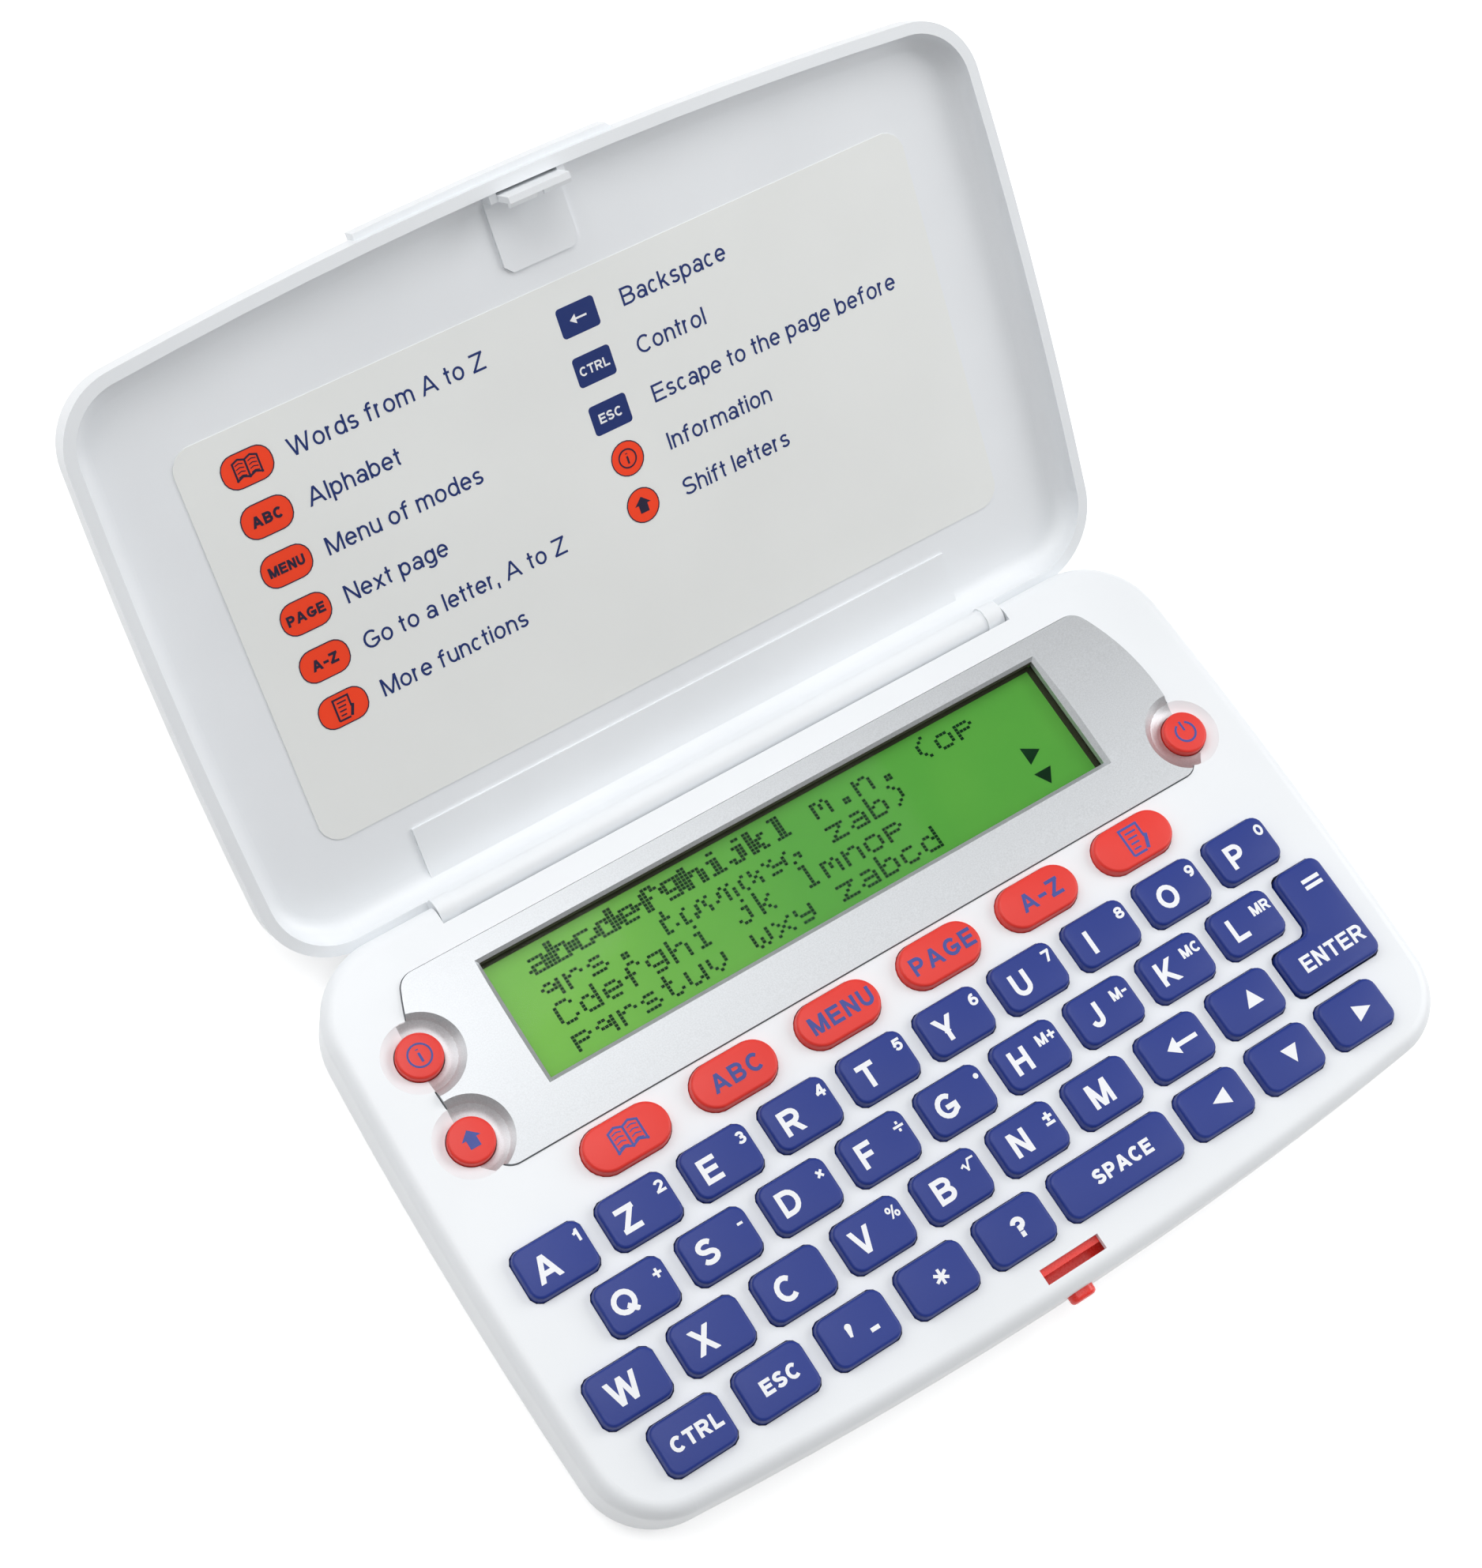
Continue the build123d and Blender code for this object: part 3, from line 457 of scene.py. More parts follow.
def rounded(half_width, half_height, radius):
    """The outline of a rectangle with rounded corners, about the origin."""
    points = []
    for x, y, start in ((1, 1, 0), (-1, 1, 90), (-1, -1, 180), (1, -1, 270)):
        points += arc(radius, start, start + 90, 5, x * (half_width - radius), y * (half_height - radius))
    return points


def draw_book(ink, x, y, size):
    """An open book: two pages with lines on them."""
    w = size * 0.62
    for side in (-1, 1):
        page = [(0, -0.42), (0.5, -0.3), (1, -0.42), (1, 0.4), (0.5, 0.52), (0, 0.4), (0, -0.42)]
        ink.line([(side * px * w, py * size) for px, py in page], size * 0.09, x, y)
        for row in range(4):
            level = (0.27 - 0.19 * row) * size
            top = (side * 0.5 * w, level + 0.06 * size)
            ink.line([(side * 0.2 * w, level), top, (side * 0.85 * w, level)], size * 0.05, x, y)


def draw_note(ink, x, y, size):
    """A sheet of notes with a pencil across its corner."""
    w = size * 0.38
    h = size * 0.52
    ink.line([(-w, -h), (w * 0.5, -h)], size * 0.09, x, y)
    ink.line([(-w, -h), (-w, h), (w, h), (w, -h * 0.1)], size * 0.09, x, y)
    for row in range(4):
        level = h * (0.6 - 0.4 * row)
        ink.line([(-w * 0.6, level), (w * (0.6 - 0.15 * row), level)], size * 0.07, x, y)
    ink.line([(w * 1.25, h * 0.05), (w * 0.7, -h * 0.95)], size * 0.14, x, y)


def draw_info(ink, x, y, size):
    ink.line(arc(size / 2, 0, 360, 24), size * 0.085, x, y)
    ink.line([(0, -size * 0.3), (0, size * 0.12)], size * 0.11, x, y)
    ink.line([(0, size * 0.24), (0, size * 0.29)], size * 0.12, x, y)


def draw_power(ink, x, y, size):
    ink.line(arc(size / 2, 118, 422, 20), size * 0.11, x, y)
    ink.line([(0, size * 0.08), (0, size * 0.58)], size * 0.11, x, y)


def draw_shift(ink, x, y, size):
    """A solid arrow that points up, with a short wide stem."""
    s = size / 2
    points = [(-s, 0.1 * s), (-0.55 * s, 0.1 * s), (-0.55 * s, -0.85 * s), (0.55 * s, -0.85 * s)]
    ink.shape(points + [(0.55 * s, 0.1 * s), (s, 0.1 * s), (0, s)], x, y)


def draw_arrow(ink, x, y, width, depth):
    """A solid arrowhead that points up, or down where its depth is negative."""
    ink.shape([(-width / 2, -depth / 2), (width / 2, -depth / 2), (0, depth / 2)], x, y)


def draw_side_arrow(ink, x, y, width, depth):
    """A solid arrowhead that points right, or left where its width is negative."""
    ink.shape([(-width / 2, -depth / 2), (width / 2, 0), (-width / 2, depth / 2)], x, y)


def draw_apostrophe(ink, x, y, size):
    """A drop: round at the top, with a tail that leans to the left."""
    tail = [(-size * 0.2, -size * 0.45), (0, -size * 0.5)]
    ink.shape(arc(size * 0.25, -30, 210, 8, 0, size * 0.25) + tail, x, y)


def draw_star(ink, x, y, size):
    for turn in (0, 60, 120):
        ends = arc(size / 2, turn + 90, turn + 270, 1)
        ink.line(ends, size * 0.2, x, y)


def draw_back_arrow(ink, x, y, length, width):
    ink.line([(-length * 0.2, 0), (length / 2, 0)], width, x, y)
    head = [(-length / 2, 0), (-length * 0.14, length * 0.26), (-length * 0.14, -length * 0.26)]
    ink.shape(head, x, y)


# ---- Settings ---------------------------------------------------------------------------------
def colour_setting(name, description, code):
    return FloatVectorProperty(
        name=name, description=description, subtype="COLOR", default=linear(code), min=0, max=1)


def length_setting(name, description, millimetres):
    return FloatProperty(name=name, description=description, default=millimetres * MM, unit="LENGTH")


class DictionaryColours(bpy.types.PropertyGroup):
    """The colours that a user would change."""

    case: colour_setting("Case", "White of the case and the lid", "#EFF2F5")
    keys: colour_setting("Keys", "Blue of the letter keys", "#1C3489")
    red_keys: colour_setting("Function keys", "Coral red of the small and round keys", "#E8372D")
    release: colour_setting("Release", "Red of the latch slider", "#EE3F37")
    key_ink: colour_setting("Key ink", "White ink on the blue keys", "#F2F4F8")
    red_key_ink: colour_setting("Function key ink", "Blue ink on the red keys", "#3D4CA0")
    silver: colour_setting("Surround", "Silver paint of the display surround", "#D1D4D7")
    label: colour_setting("Label film", "Pale grey film of the label", "#EFF1EF")
    label_red: colour_setting("Label red", "Orange red print on the label", "#FF451D")
    label_blue: colour_setting("Label blue", "Navy print on the label", "#152E71")
    screen_near: colour_setting("Screen, left end", "Yellow green at the display's left end", "#7CB94F")
    screen_far: colour_setting("Screen, right end", "Green at the display's right end", "#58A040")


class DictionarySizes(bpy.types.PropertyGroup):
    """The sizes that a user would change."""

    key_corner: length_setting("Key corner", "Radius of a letter key's corners", 1.45)
    key_edge: length_setting("Key edge", "Rounding of a key's top edge", 0.45)
    flange: length_setting("Flange", "How far a key's flange stands out under the case", 0.6)
    draft: length_setting("Draft", "How far a key's sides lean in above the case's face", 0.12)
    letter_height: length_setting("Letter height", "Height of the main letter on a key", 3.27)
    sign_height: length_setting("Sign height", "Height of the small sign in a key's corner", 1.6)
    label_text: length_setting("Label text", "Height of a capital on the label", 2.3)
    dot_width: length_setting("Dot width", "Pitch of the display's dots along a line", 0.556)
    dot_height: length_setting("Dot height", "Pitch of the display's dots down a letter", 0.47)
    round_segments: IntProperty(
        name="Round segments", description="Number of sides of a round button",
        default=48, min=12, max=96)


class DICT_OT_case(bpy.types.Operator):
    """Give the case, the lid and the inner pieces their finishes"""

    bl_idname = "dictionary.case"
    bl_label = "Case and lid"

    def execute(self, context):
        colours = context.scene.dictionary_colours
        # White ABS, moulded against a lightly textured tool: a soft sheen with no sharp reflections.
        shell = moulded("moulded_white_ABS", colours.case, 0.38)
        finish(shell, "top_case", "bottom_case", "battery_door", "lid")
        # Silicone rubber, compression moulded: matt and slightly translucent white.
        finish(moulded("silicone_rubber_sheet", linear("#E4E4DF"), 0.7, 0.5), "keypad_membrane")
        # Solder mask on glass epoxy: a dark green gloss over a faint weave.
        finish(moulded("green_solder_mask", linear("#1E5A2E"), 0.3, 0.6, 0.01), "circuit_board")
        # Nickel-plated steel, turned and polished: bright metal with fine scratches.
        nickel = bare_metal("nickel_plated_steel", "#C9C6C0", "#C9C6C0", 0.4, 4.0, 0.22)
        finish(nickel, "coin_cells", "case_screws")
        return {"FINISHED"}


def key_material(name, colour, roughness):
    return moulded(name, colour, roughness, 0.25, 0.006, 0.08, 1.47)


def taper(bm, level, middle, reach, draft):
    """Leans the sides in above a level, by a draft at the top, as a moulded key needs."""
    bmesh.ops.bisect_plane(bm, geom=everything(bm), plane_co=(0, 0, level), plane_no=(0, 0, 1))
    about = Matrix.Translation(-Vector((middle.x, middle.y, 0)))
    factor = (1 - draft / reach.x, 1 - draft / reach.y, 1)
    bmesh.ops.scale(bm, vec=factor, space=about, verts=[v for v in bm.verts if v.co.z > level + 0.1 * MM])


EDGE_SEGMENTS = 4
FLANGE_THICKNESS = 0.7 * MM


def cap_of(node, corner, sizes, corner_segments=5):
    """A key cap with rounded corners and a rounded top edge, on its flange, where the node is."""
    low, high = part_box(node)
    middle = (low + high) / 2
    bm = bmesh.new()
    inset = sizes.flange - sizes.draft
    side = Vector((inset, inset, 0))
    add_block(bm, low + side, high - side)
    bevel(bm, upright_edges(bm), corner + sizes.draft, corner_segments)
    bevel(bm, edges_at(bm, high.z), sizes.key_edge, EDGE_SEGMENTS)
    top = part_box("top_case")[1].z
    taper(bm, top, middle, high - side - middle, sizes.draft)
    smooth_by_angle(bm)
    add_block(bm, low, (high.x, high.y, low.z + FLANGE_THICKNESS))
    return bm


def printed_key(node, bm, plastic, ink, slot, draw):
    """Makes a cap stand for a key's node, and prints its top about its middle."""
    kind = "button_" if node.startswith("button_") else "key_"
    body = BODIES[node]
    piece(node.replace(kind, "cap_"), bm, [plastic], body, slot, node)
    low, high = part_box(node)
    x, y, _ = (low + high) / 2 / MM
    legend = Print(high.z)
    draw(legend, x, y)
    legend.make(node.replace(kind, "legend_"), ink, body, slot)


def word(text, height, weight, shift=0.0, spacing=0.13):
    """What draws one word, for the tables of signs."""
    return lambda ink, x, y: ink.words(text, x + shift, y, height, weight, spacing=spacing)


def sign(draw, *sizes, dx=0.0, dy=0.0):
    """What draws one sign, for the tables of signs."""
    return lambda ink, x, y: draw(ink, x + dx, y + dy, *sizes)


class DICT_OT_keys(bpy.types.Operator):
    """Model the blue key caps and print their letters"""

    bl_idname = "dictionary.keys"
    bl_label = "Letter keys"

    def execute(self, context):
        colours = context.scene.dictionary_colours
        sizes = context.scene.dictionary_sizes
        # Navy ABS, moulded: a fine matt grain that catches light at the rounded edges.
        blue = key_material("moulded_navy_ABS", colours.keys, 0.42)
        # White pad-printed ink: opaque and matt, on top of the plastic.
        ink = moulded("white_pad_print_ink", colours.key_ink, 0.55, 0.2, 0.002, 0.05)
        for node in (*LETTER_KEYS, *SIGN_KEYS):
            bm = cap_of(node, sizes.key_corner, sizes)
            draw = SIGN_KEYS.get(node) or letter_and_mark(sizes, *LETTER_KEYS[node])
            printed_key(node, bm, blue, ink, "blue_keys", draw)
        self.enter_key(sizes, blue, ink)
        return {"FINISHED"}

    def enter_key(self, sizes, blue, ink):
        """The L-shaped key: its inner corner lies by the neighbours' edges."""
        low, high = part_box("key_enter")
        flange = sizes.flange
        left, front = low.x + flange, low.y + flange
        right, rear = high.x - flange, high.y - flange
        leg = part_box("key_l")[1].x - flange + ENTER_SPACING
        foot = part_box("key_up")[1].y - flange
        bm = bmesh.new()
        points = [(left, front), (right, front), (right, rear), (leg, rear), (leg, foot), (left, foot)]
        add_flat(bm, points, low.z, high.z)
        bevel(bm, upright_edges(bm), sizes.key_corner, 5)
        bevel(bm, edges_at(bm, high.z), sizes.key_edge, EDGE_SEGMENTS)
        smooth_by_angle(bm)

        def draw(legend, x, y):
            legend.words("ENTER", x + 0.8, (front + foot) / 2 / MM + 0.1, 2.25, 0.2, spacing=0.16)
            for shift in (-0.47, 0.47):
                legend.line([(-1.4, shift), (1.4, shift)], 0.55, x + 4.15, y + 4.6)

        printed_key("key_enter", bm, blue, ink, "blue_keys", draw)


ENTER_SPACING = 2.05 * MM
# Each key's letter, where its left end and its middle lie from the key's middle, and its small sign.
LETTER_KEYS = {}
# Letters narrower or wider than most start further in or out.
NUDGES = {"i": 0.6, "o": 0.4, "p": 0.4, "u": 0.25, "q": -0.3, "j": 0.35, "l": 0.3, "v": -0.5, "m": 0.5}
for row, left, rise, marks in (
    ("azertyuiop", -3.1, -0.2, "1234567890"),
    ("qsdfghjkl", -3.1, 0.05, ["+", "-", "\u00d7", "\u00f7", "\u2022", "M+", "M-", "MC", "MR"]),
    ("wxcvbnm", -2.75, 0.0, ["", "", "", "%", "root", "\u00b1", ""]),
):
    for letter, mark in zip(row, marks):
        LETTER_KEYS["key_" + letter] = (letter.upper(), left + NUDGES.get(letter, 0), rise, mark)
# A small sign's place right of and above the key's middle, its share of the sign height, its weight.
SMALL_SIGNS = {
    "%": (3.3, 1.1, 1.0, 0.15), "\u00b1": (3.4, 0.85, 1.15, 0.22), "\u2022": (3.8, 1.15, 0.95, 0.24),
    "digit": (3.5, 1.27, 1.0, 0.22), "other": (3.4, 1.05, 0.94, 0.22),
}
SIGN_LETTER_STEP = 0.65
ROOT = [(-1.0, -0.1), (-0.6, 0.15), (-0.25, -0.6), (0.25, 0.6), (1.1, 0.6)]


def letter_and_mark(sizes, letter, left, rise, mark):
    """What draws a letter key's letter, and the small sign at its upper right."""
    def draw(ink, x, y):
        ink.words(letter, x + left, y + rise, sizes.letter_height / MM, 0.2, "LEFT")
        if mark == "root":
            ink.line(ROOT, 0.26, x + 3.0, y + 1.2)
        elif mark:
            kind = "digit" if mark.isdigit() else mark if mark in SMALL_SIGNS else "other"
            across, up, share, weight = SMALL_SIGNS[kind]
            x = x + across - SIGN_LETTER_STEP * (len(mark) - 1)
            ink.words(mark, x, y + up, sizes.sign_height / MM * share, weight)

    return draw


SIGN_KEYS = {
    "key_control": word("CTRL", 1.95, 0.235, 0.3),
    "key_escape": word("ESC", 1.95, 0.235, 0.35),
    "key_apostrophe": lambda ink, x, y: (
        draw_apostrophe(ink, x - 1.15, y + 0.42, 1.75),
        ink.line([(-0.6, 0), (0.6, 0)], 0.55, x + 1.7, y - 0.95)),
    "key_star": sign(draw_star, 2.0, dx=0.35),
    "key_question": word("?", 2.65, 0.23, 0.45),
    "key_space": word("SPACE", 1.95, 0.235, 0.7),
    "key_backspace": sign(draw_back_arrow, 4.75, 0.6, dx=0.8),
    "key_up": sign(draw_arrow, 2.55, 2.3, dx=0.75, dy=0.25),
    "key_down": sign(draw_arrow, 2.5, -2.3, dx=0.8, dy=-0.1),
    "key_left": sign(draw_side_arrow, -2.5, 2.3, dx=0.65),
    "key_right": sign(draw_side_arrow, 2.5, 2.3, dx=0.95, dy=-0.1),
}
FUNCTION_SIGNS = (
    sign(draw_book, 3.3, dx=0.1),
    word("ABC", 2.4, 0.2, 0.2, 0.2),
    word("MENU", 2.4, 0.2, 0.3, 0.2),
    word("PAGE", 2.4, 0.2, 0.3, 0.2),
    word("A-Z", 2.4, 0.2, 0.3, 0.2),
    sign(draw_note, 3.7, dx=0.2),
)
ROUND_SIGNS = {
    "button_info": sign(draw_info, 3.0),
    "button_shift": sign(draw_shift, 2.6),
    "button_power": sign(draw_power, 2.8),
}


class DICT_OT_red_keys(bpy.types.Operator):
    """Model the red function keys and round buttons and print their signs"""

    bl_idname = "dictionary.red_keys"
    bl_label = "Function keys and round buttons"

    def execute(self, context):
        colours = context.scene.dictionary_colours
        sizes = context.scene.dictionary_sizes
        # Coral red ABS, moulded: satin, a little softer than the blue keys.
        red = key_material("moulded_coral_ABS", colours.red_keys, 0.4)
        # Blue pad-printed ink, thin enough for some of the red to come through.
        ink = moulded("blue_pad_print_ink", colours.red_key_ink, 0.5, 0.3, 0.002, 0.25)
        for number, draw in enumerate(FUNCTION_SIGNS, 1):
            node = f"function_key_{number}"
            low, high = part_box(node)
            corner = (high.y - low.y) / 2 - sizes.flange - 0.02 * MM
            printed_key(node, cap_of(node, corner, sizes, 12), red, ink, "red_keys", draw)
        for node, draw in ROUND_SIGNS.items():
            low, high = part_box(node)
            radius = (high.x - low.x) / 2 - sizes.flange
            bm = bmesh.new()
            bmesh.ops.create_cone(
                bm, cap_ends=True, segments=sizes.round_segments, radius1=radius, radius2=radius,
                depth=high.z - low.z, matrix=Matrix.Translation((low + high) / 2))
            bevel(bm, edges_at(bm, high.z), 0.4 * MM, EDGE_SEGMENTS)
            smooth_by_angle(bm)
            printed_key(node, bm, red, ink, "red_keys", draw)
        return {"FINISHED"}


WINDOW_BORDER = 1.9 * MM
LINE_START = -37.9 * MM
# Above the window's middle line, and down from line to line, in millimetres.
FIRST_LINE, LINE_PITCH = 7.3, 3.74
DOT_FILL = 0.86
DOT_ROWS = 7
LETTER_COLUMNS = 6
# Each letter, and then its five columns of seven dots, low bit at the top.
DOT_CODES = """
a2054545478 b7F48444438 c3844444420 d384444487F e3854545418 f087E090102 g0C5252523E h7F08040478
i00447D4000 j2040443D00 k7F10284400 l00417F4000 m7C04180478 n7C08040478 o3844444438 p7C14141408
q081414187C r7C08040408 s4854545420 t043F444020 u3C4040207C v1C2040201C w3C4030403C x4428102844
y0C5050503C z4464544C44 C3E41414122 (001C224100 )0041221C00 .0000606000 ,0050300000
"""
DOT_LETTERS = {" ": "00" * 5, **{word[0]: word[1:] for word in DOT_CODES.split()}}
SCREEN_LINES = (
    [("abcdefghijkl", "bold"), (" m.n. (op", "plain")],
    [("qrs. ", "plain"), ("tuvwxy,", "slanted"), (" zab)", "plain")],
    [("Cdefghi jk lmnop", "plain")],
    [("pqrstuv wxy zabcd", "plain")],
)


class DICT_OT_display(bpy.types.Operator):
    """Finish the surround, the window and the screen, and set its dots"""

    bl_idname = "dictionary.display"
    bl_label = "Display"

    def execute(self, context):
        colours = context.scene.dictionary_colours
        finish(self.silver(colours), "display_bezel")
        finish(self.acrylic(), "display_window")
        finish(self.screen(colours), "lcd_panel")
        self.gasket()
        self.dots(context.scene.dictionary_sizes)
        return {"FINISHED"}

    def gasket(self):
        """The foam frame under the window, and its lip along the opening's rear wall: dark strips that also paint
        the shade along the opening's rear and right edges.
        """
        # Closed-cell foam, die cut: a dead matt olive black with fine pores; its dark strips also stand in as
        # painted shade.
        foam = moulded("foam_and_painted_shade", linear("#34351F"), 0.9, 0.15, 0.02, 0.2)
        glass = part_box("lcd_panel")[1].z
        low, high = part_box("display_window")
        left, right = low.x + WINDOW_BORDER, high.x - WINDOW_BORDER
        front, rear = low.y + WINDOW_BORDER, high.y - WINDOW_BORDER
        bm = bmesh.new()
        under = low.z - 0.02 * MM
        half = 0.5 * MM
        hair = 0.01 * MM
        add_block(bm, (left, rear - 0.45 * MM, glass + hair), (right, rear + half, under))
        low = (right - half, front, glass + 0.011 * MM)
        add_block(bm, low, (right + half, rear, under - 0.001 * MM))
        # The lip is painted shade: a dark sheet on the opening's rear wall, where the wall lies in shade.
        low = (left + 0.1 * MM, rear - 0.1 * MM, high.z + hair)
        add_block(bm, low, (right - 0.1 * MM, rear - 0.02 * MM, high.z + 0.85 * MM))
        piece("window_gasket_and_painted_shade", bm, [foam], "base", "display")

    def silver(self, colours):
        """Silver paint on plastic: flakes in clear lacquer give a fine sparkle and a broad sheen."""
        material, tree = new_material("silver_metallic_paint")
        flakes = grain(tree, 0.18, 2.0)
        sparkle = spread(tree, flakes, 0, 1)
        surface(tree, {
            "Base Color": shaded(tree, sparkle, scaled(colours.silver, 0.86), colours.silver),
            "Metallic": 0.75, "Roughness": spread(tree, flakes, 0.34, 0.46),
            "Coat Weight": 0.15, "Coat Roughness": 0.25,
        }, flakes, 0.004)
        return material

    def acrylic(self):
        """Clear acrylic sheet, polished: seen through, with a faint reflection on its face."""
        material, tree = new_material("polished_clear_acrylic")
        haze = spread(tree, grain(tree, 6.0), 0.02, 0.06)
        mirror = add_node(tree, "ShaderNodeBsdfGlossy", {"Color": (1, 1, 1, 1), "Roughness": haze})
        clear = add_node(tree, "ShaderNodeBsdfTransparent", {"Color": (0.97, 0.99, 0.97, 1)})
        share = add_node(tree, "ShaderNodeFresnel", {"IOR": 1.16})
        sockets = {i: node.outputs[0] for i, node in enumerate((share, clear, mirror))}
        mixed = add_node(tree, "ShaderNodeMixShader", sockets)
        add_node(tree, "ShaderNodeOutputMaterial", {"Surface": mixed.outputs[0]})
        return material

    def screen(self, colours):
        """Green reflective liquid crystal glass: brighter and yellower towards one end, with a faint painted glow
        of its own green.
        """
        material, tree = new_material("green_liquid_crystal")
        point = place(tree)
        axes = add_node(tree, "ShaderNodeSeparateXYZ", {"Vector": point})
        patch = spread(tree, grain(tree, 16.0, 1.0), -0.12, 0.12)
        run = add_node(tree, "ShaderNodeMapRange", {
            "Value": axes.outputs["X"], "From Min": -43 * MM, "From Max": 5 * MM}).outputs["Result"]
        share = add_node(tree, "ShaderNodeMath", {0: run, 1: patch}, operation="ADD", use_clamp=True)
        green = shaded(tree, share.outputs[0], colours.screen_near, colours.screen_far)
        surface(tree, {
            "Base Color": green, "Roughness": 0.4, "IOR": 1.2,
            # Painted glow: the screen gives off a faint light of its own green, though it is no lamp.
            "Emission Color": green, "Emission Strength": 0.1,
        })
        return material

    def dots(self, sizes):
        # Liquid crystal ink: near black with a green cast, flat under the glass.
        dark, tree = new_material("dark_liquid_crystal_dots")
        tone = spread(tree, grain(tree, 9.0), 0.0, 1.0)
        green = shaded(tree, tone, linear("#0A1F0E"), linear("#123A22"))
        surface(tree, {"Base Color": green, "Roughness": 0.5, "IOR": 1.1})
        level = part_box("lcd_panel")[1].z
        view_low, view_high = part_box("display_window")
        middle = (view_low.y + view_high.y) / 2
        bm = bmesh.new()
        step = Vector((sizes.dot_width, sizes.dot_height))
        size = step * DOT_FILL
        for line, runs in enumerate(SCREEN_LINES):
            top = middle + (FIRST_LINE - line * LINE_PITCH) * MM
            column = 0
            for words, style in runs:
                for letter in words:
                    columns = bytes.fromhex(DOT_LETTERS[letter])
                    if style == "bold":
                        columns = [a | b for a, b in zip(columns + b"\0", b"\0" + columns)]
                    for i, row in itertools.product(range(len(columns)), range(DOT_ROWS)):
                        if columns[i] >> row & 1:
                            lean = (2 - row // 3) if style == "slanted" else 0
                            x = LINE_START + (column + i + lean) * step.x
                            y = top - row * step.y
                            low = (x, y - size.y, level - 0.01 * MM)
                            add_block(bm, low, (x + size.x, y, level + 0.02 * MM))
                    column += LETTER_COLUMNS
        piece("screen_dots", bm, [dark], "base", "display")
        arrows = Print(level)
        draw_side_arrow(arrows, 36.3, middle / MM - 2.1, 2.4, 2.7)
        draw_arrow(arrows, 36.0, middle / MM - 5.9, 2.75, -2.2)
        arrows.make("screen_arrows", dark, "base", "display")


# A dish's section: radius and level, in millimetres, from the button's axis and the case's top.
DISH_SECTION = (
    (4.82, 0.0), (4.4, -0.24), (4.0, -0.45), (3.6, -0.61), (3.12, -0.7), (3.12, -0.93), (3.58, -0.93))
DISH_STEPS = 64


class DICT_OT_dishes(bpy.types.Operator):
    """Line the dishes around the round buttons"""

    bl_idname = "dictionary.dishes"
    bl_label = "Dishes"

    def execute(self, context):
        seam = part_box("display_bezel")[1].x
        for name in ("info", "shift", "power"):
            middle = sum(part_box("button_" + name), Vector()) / 2
            side = math.copysign(1, middle.x)
            within = ((side * seam, 0, 0), (side, 0, 0))
            beyond = ((side * seam, 0, 0), (-side, 0, 0))
            # The surround's rounded corner runs across the two lower dishes.
            corner = Vector((side * 55.3, 8.2, 0)) * MM
            slope = Vector((side * 0.75, -0.66, 0))
            parts = [("case", [beyond], "top_case", "case_shell")]
            if name == "info":
                parts.append(("bezel", [within], "display_bezel", "bezel"))
            else:
                parts.append(("bezel", [within, (corner, slope)], "display_bezel", "bezel"))
                parts.append(("corner", [within, (corner, -slope)], "top_case", "case_shell"))
            for part, planes, owner, slot in parts:
                bm = self.bowl(middle)
                for point, normal in planes:
                    cut_off(bm, everything(bm), point, normal)
                    bmesh.ops.recalc_face_normals(bm, faces=bm.faces)
                smooth_by_angle(bm)
                piece(f"dish_{name}_{part}", bm, [NODES[owner].data.materials[0]], "base", slot)
        return {"FINISHED"}

    def bowl(self, middle):
        """A shallow bowl around a button: its section is turned about the button's axis."""
        bm = bmesh.new()
        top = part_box("top_case")[1].z
        verts = [bm.verts.new((middle.x + r * MM, middle.y, top + z * MM)) for r, z in DISH_SECTION]
        edges = [bm.edges.new((a, b)) for a, b in zip(verts, verts[1:] + verts[:1])]
        bmesh.ops.spin(
            bm, geom=verts + edges, cent=(middle.x, middle.y, 0), axis=(0, 0, 1), angle=2 * math.pi,
            steps=DISH_STEPS, use_merge=True, use_duplicate=False)
        return bm


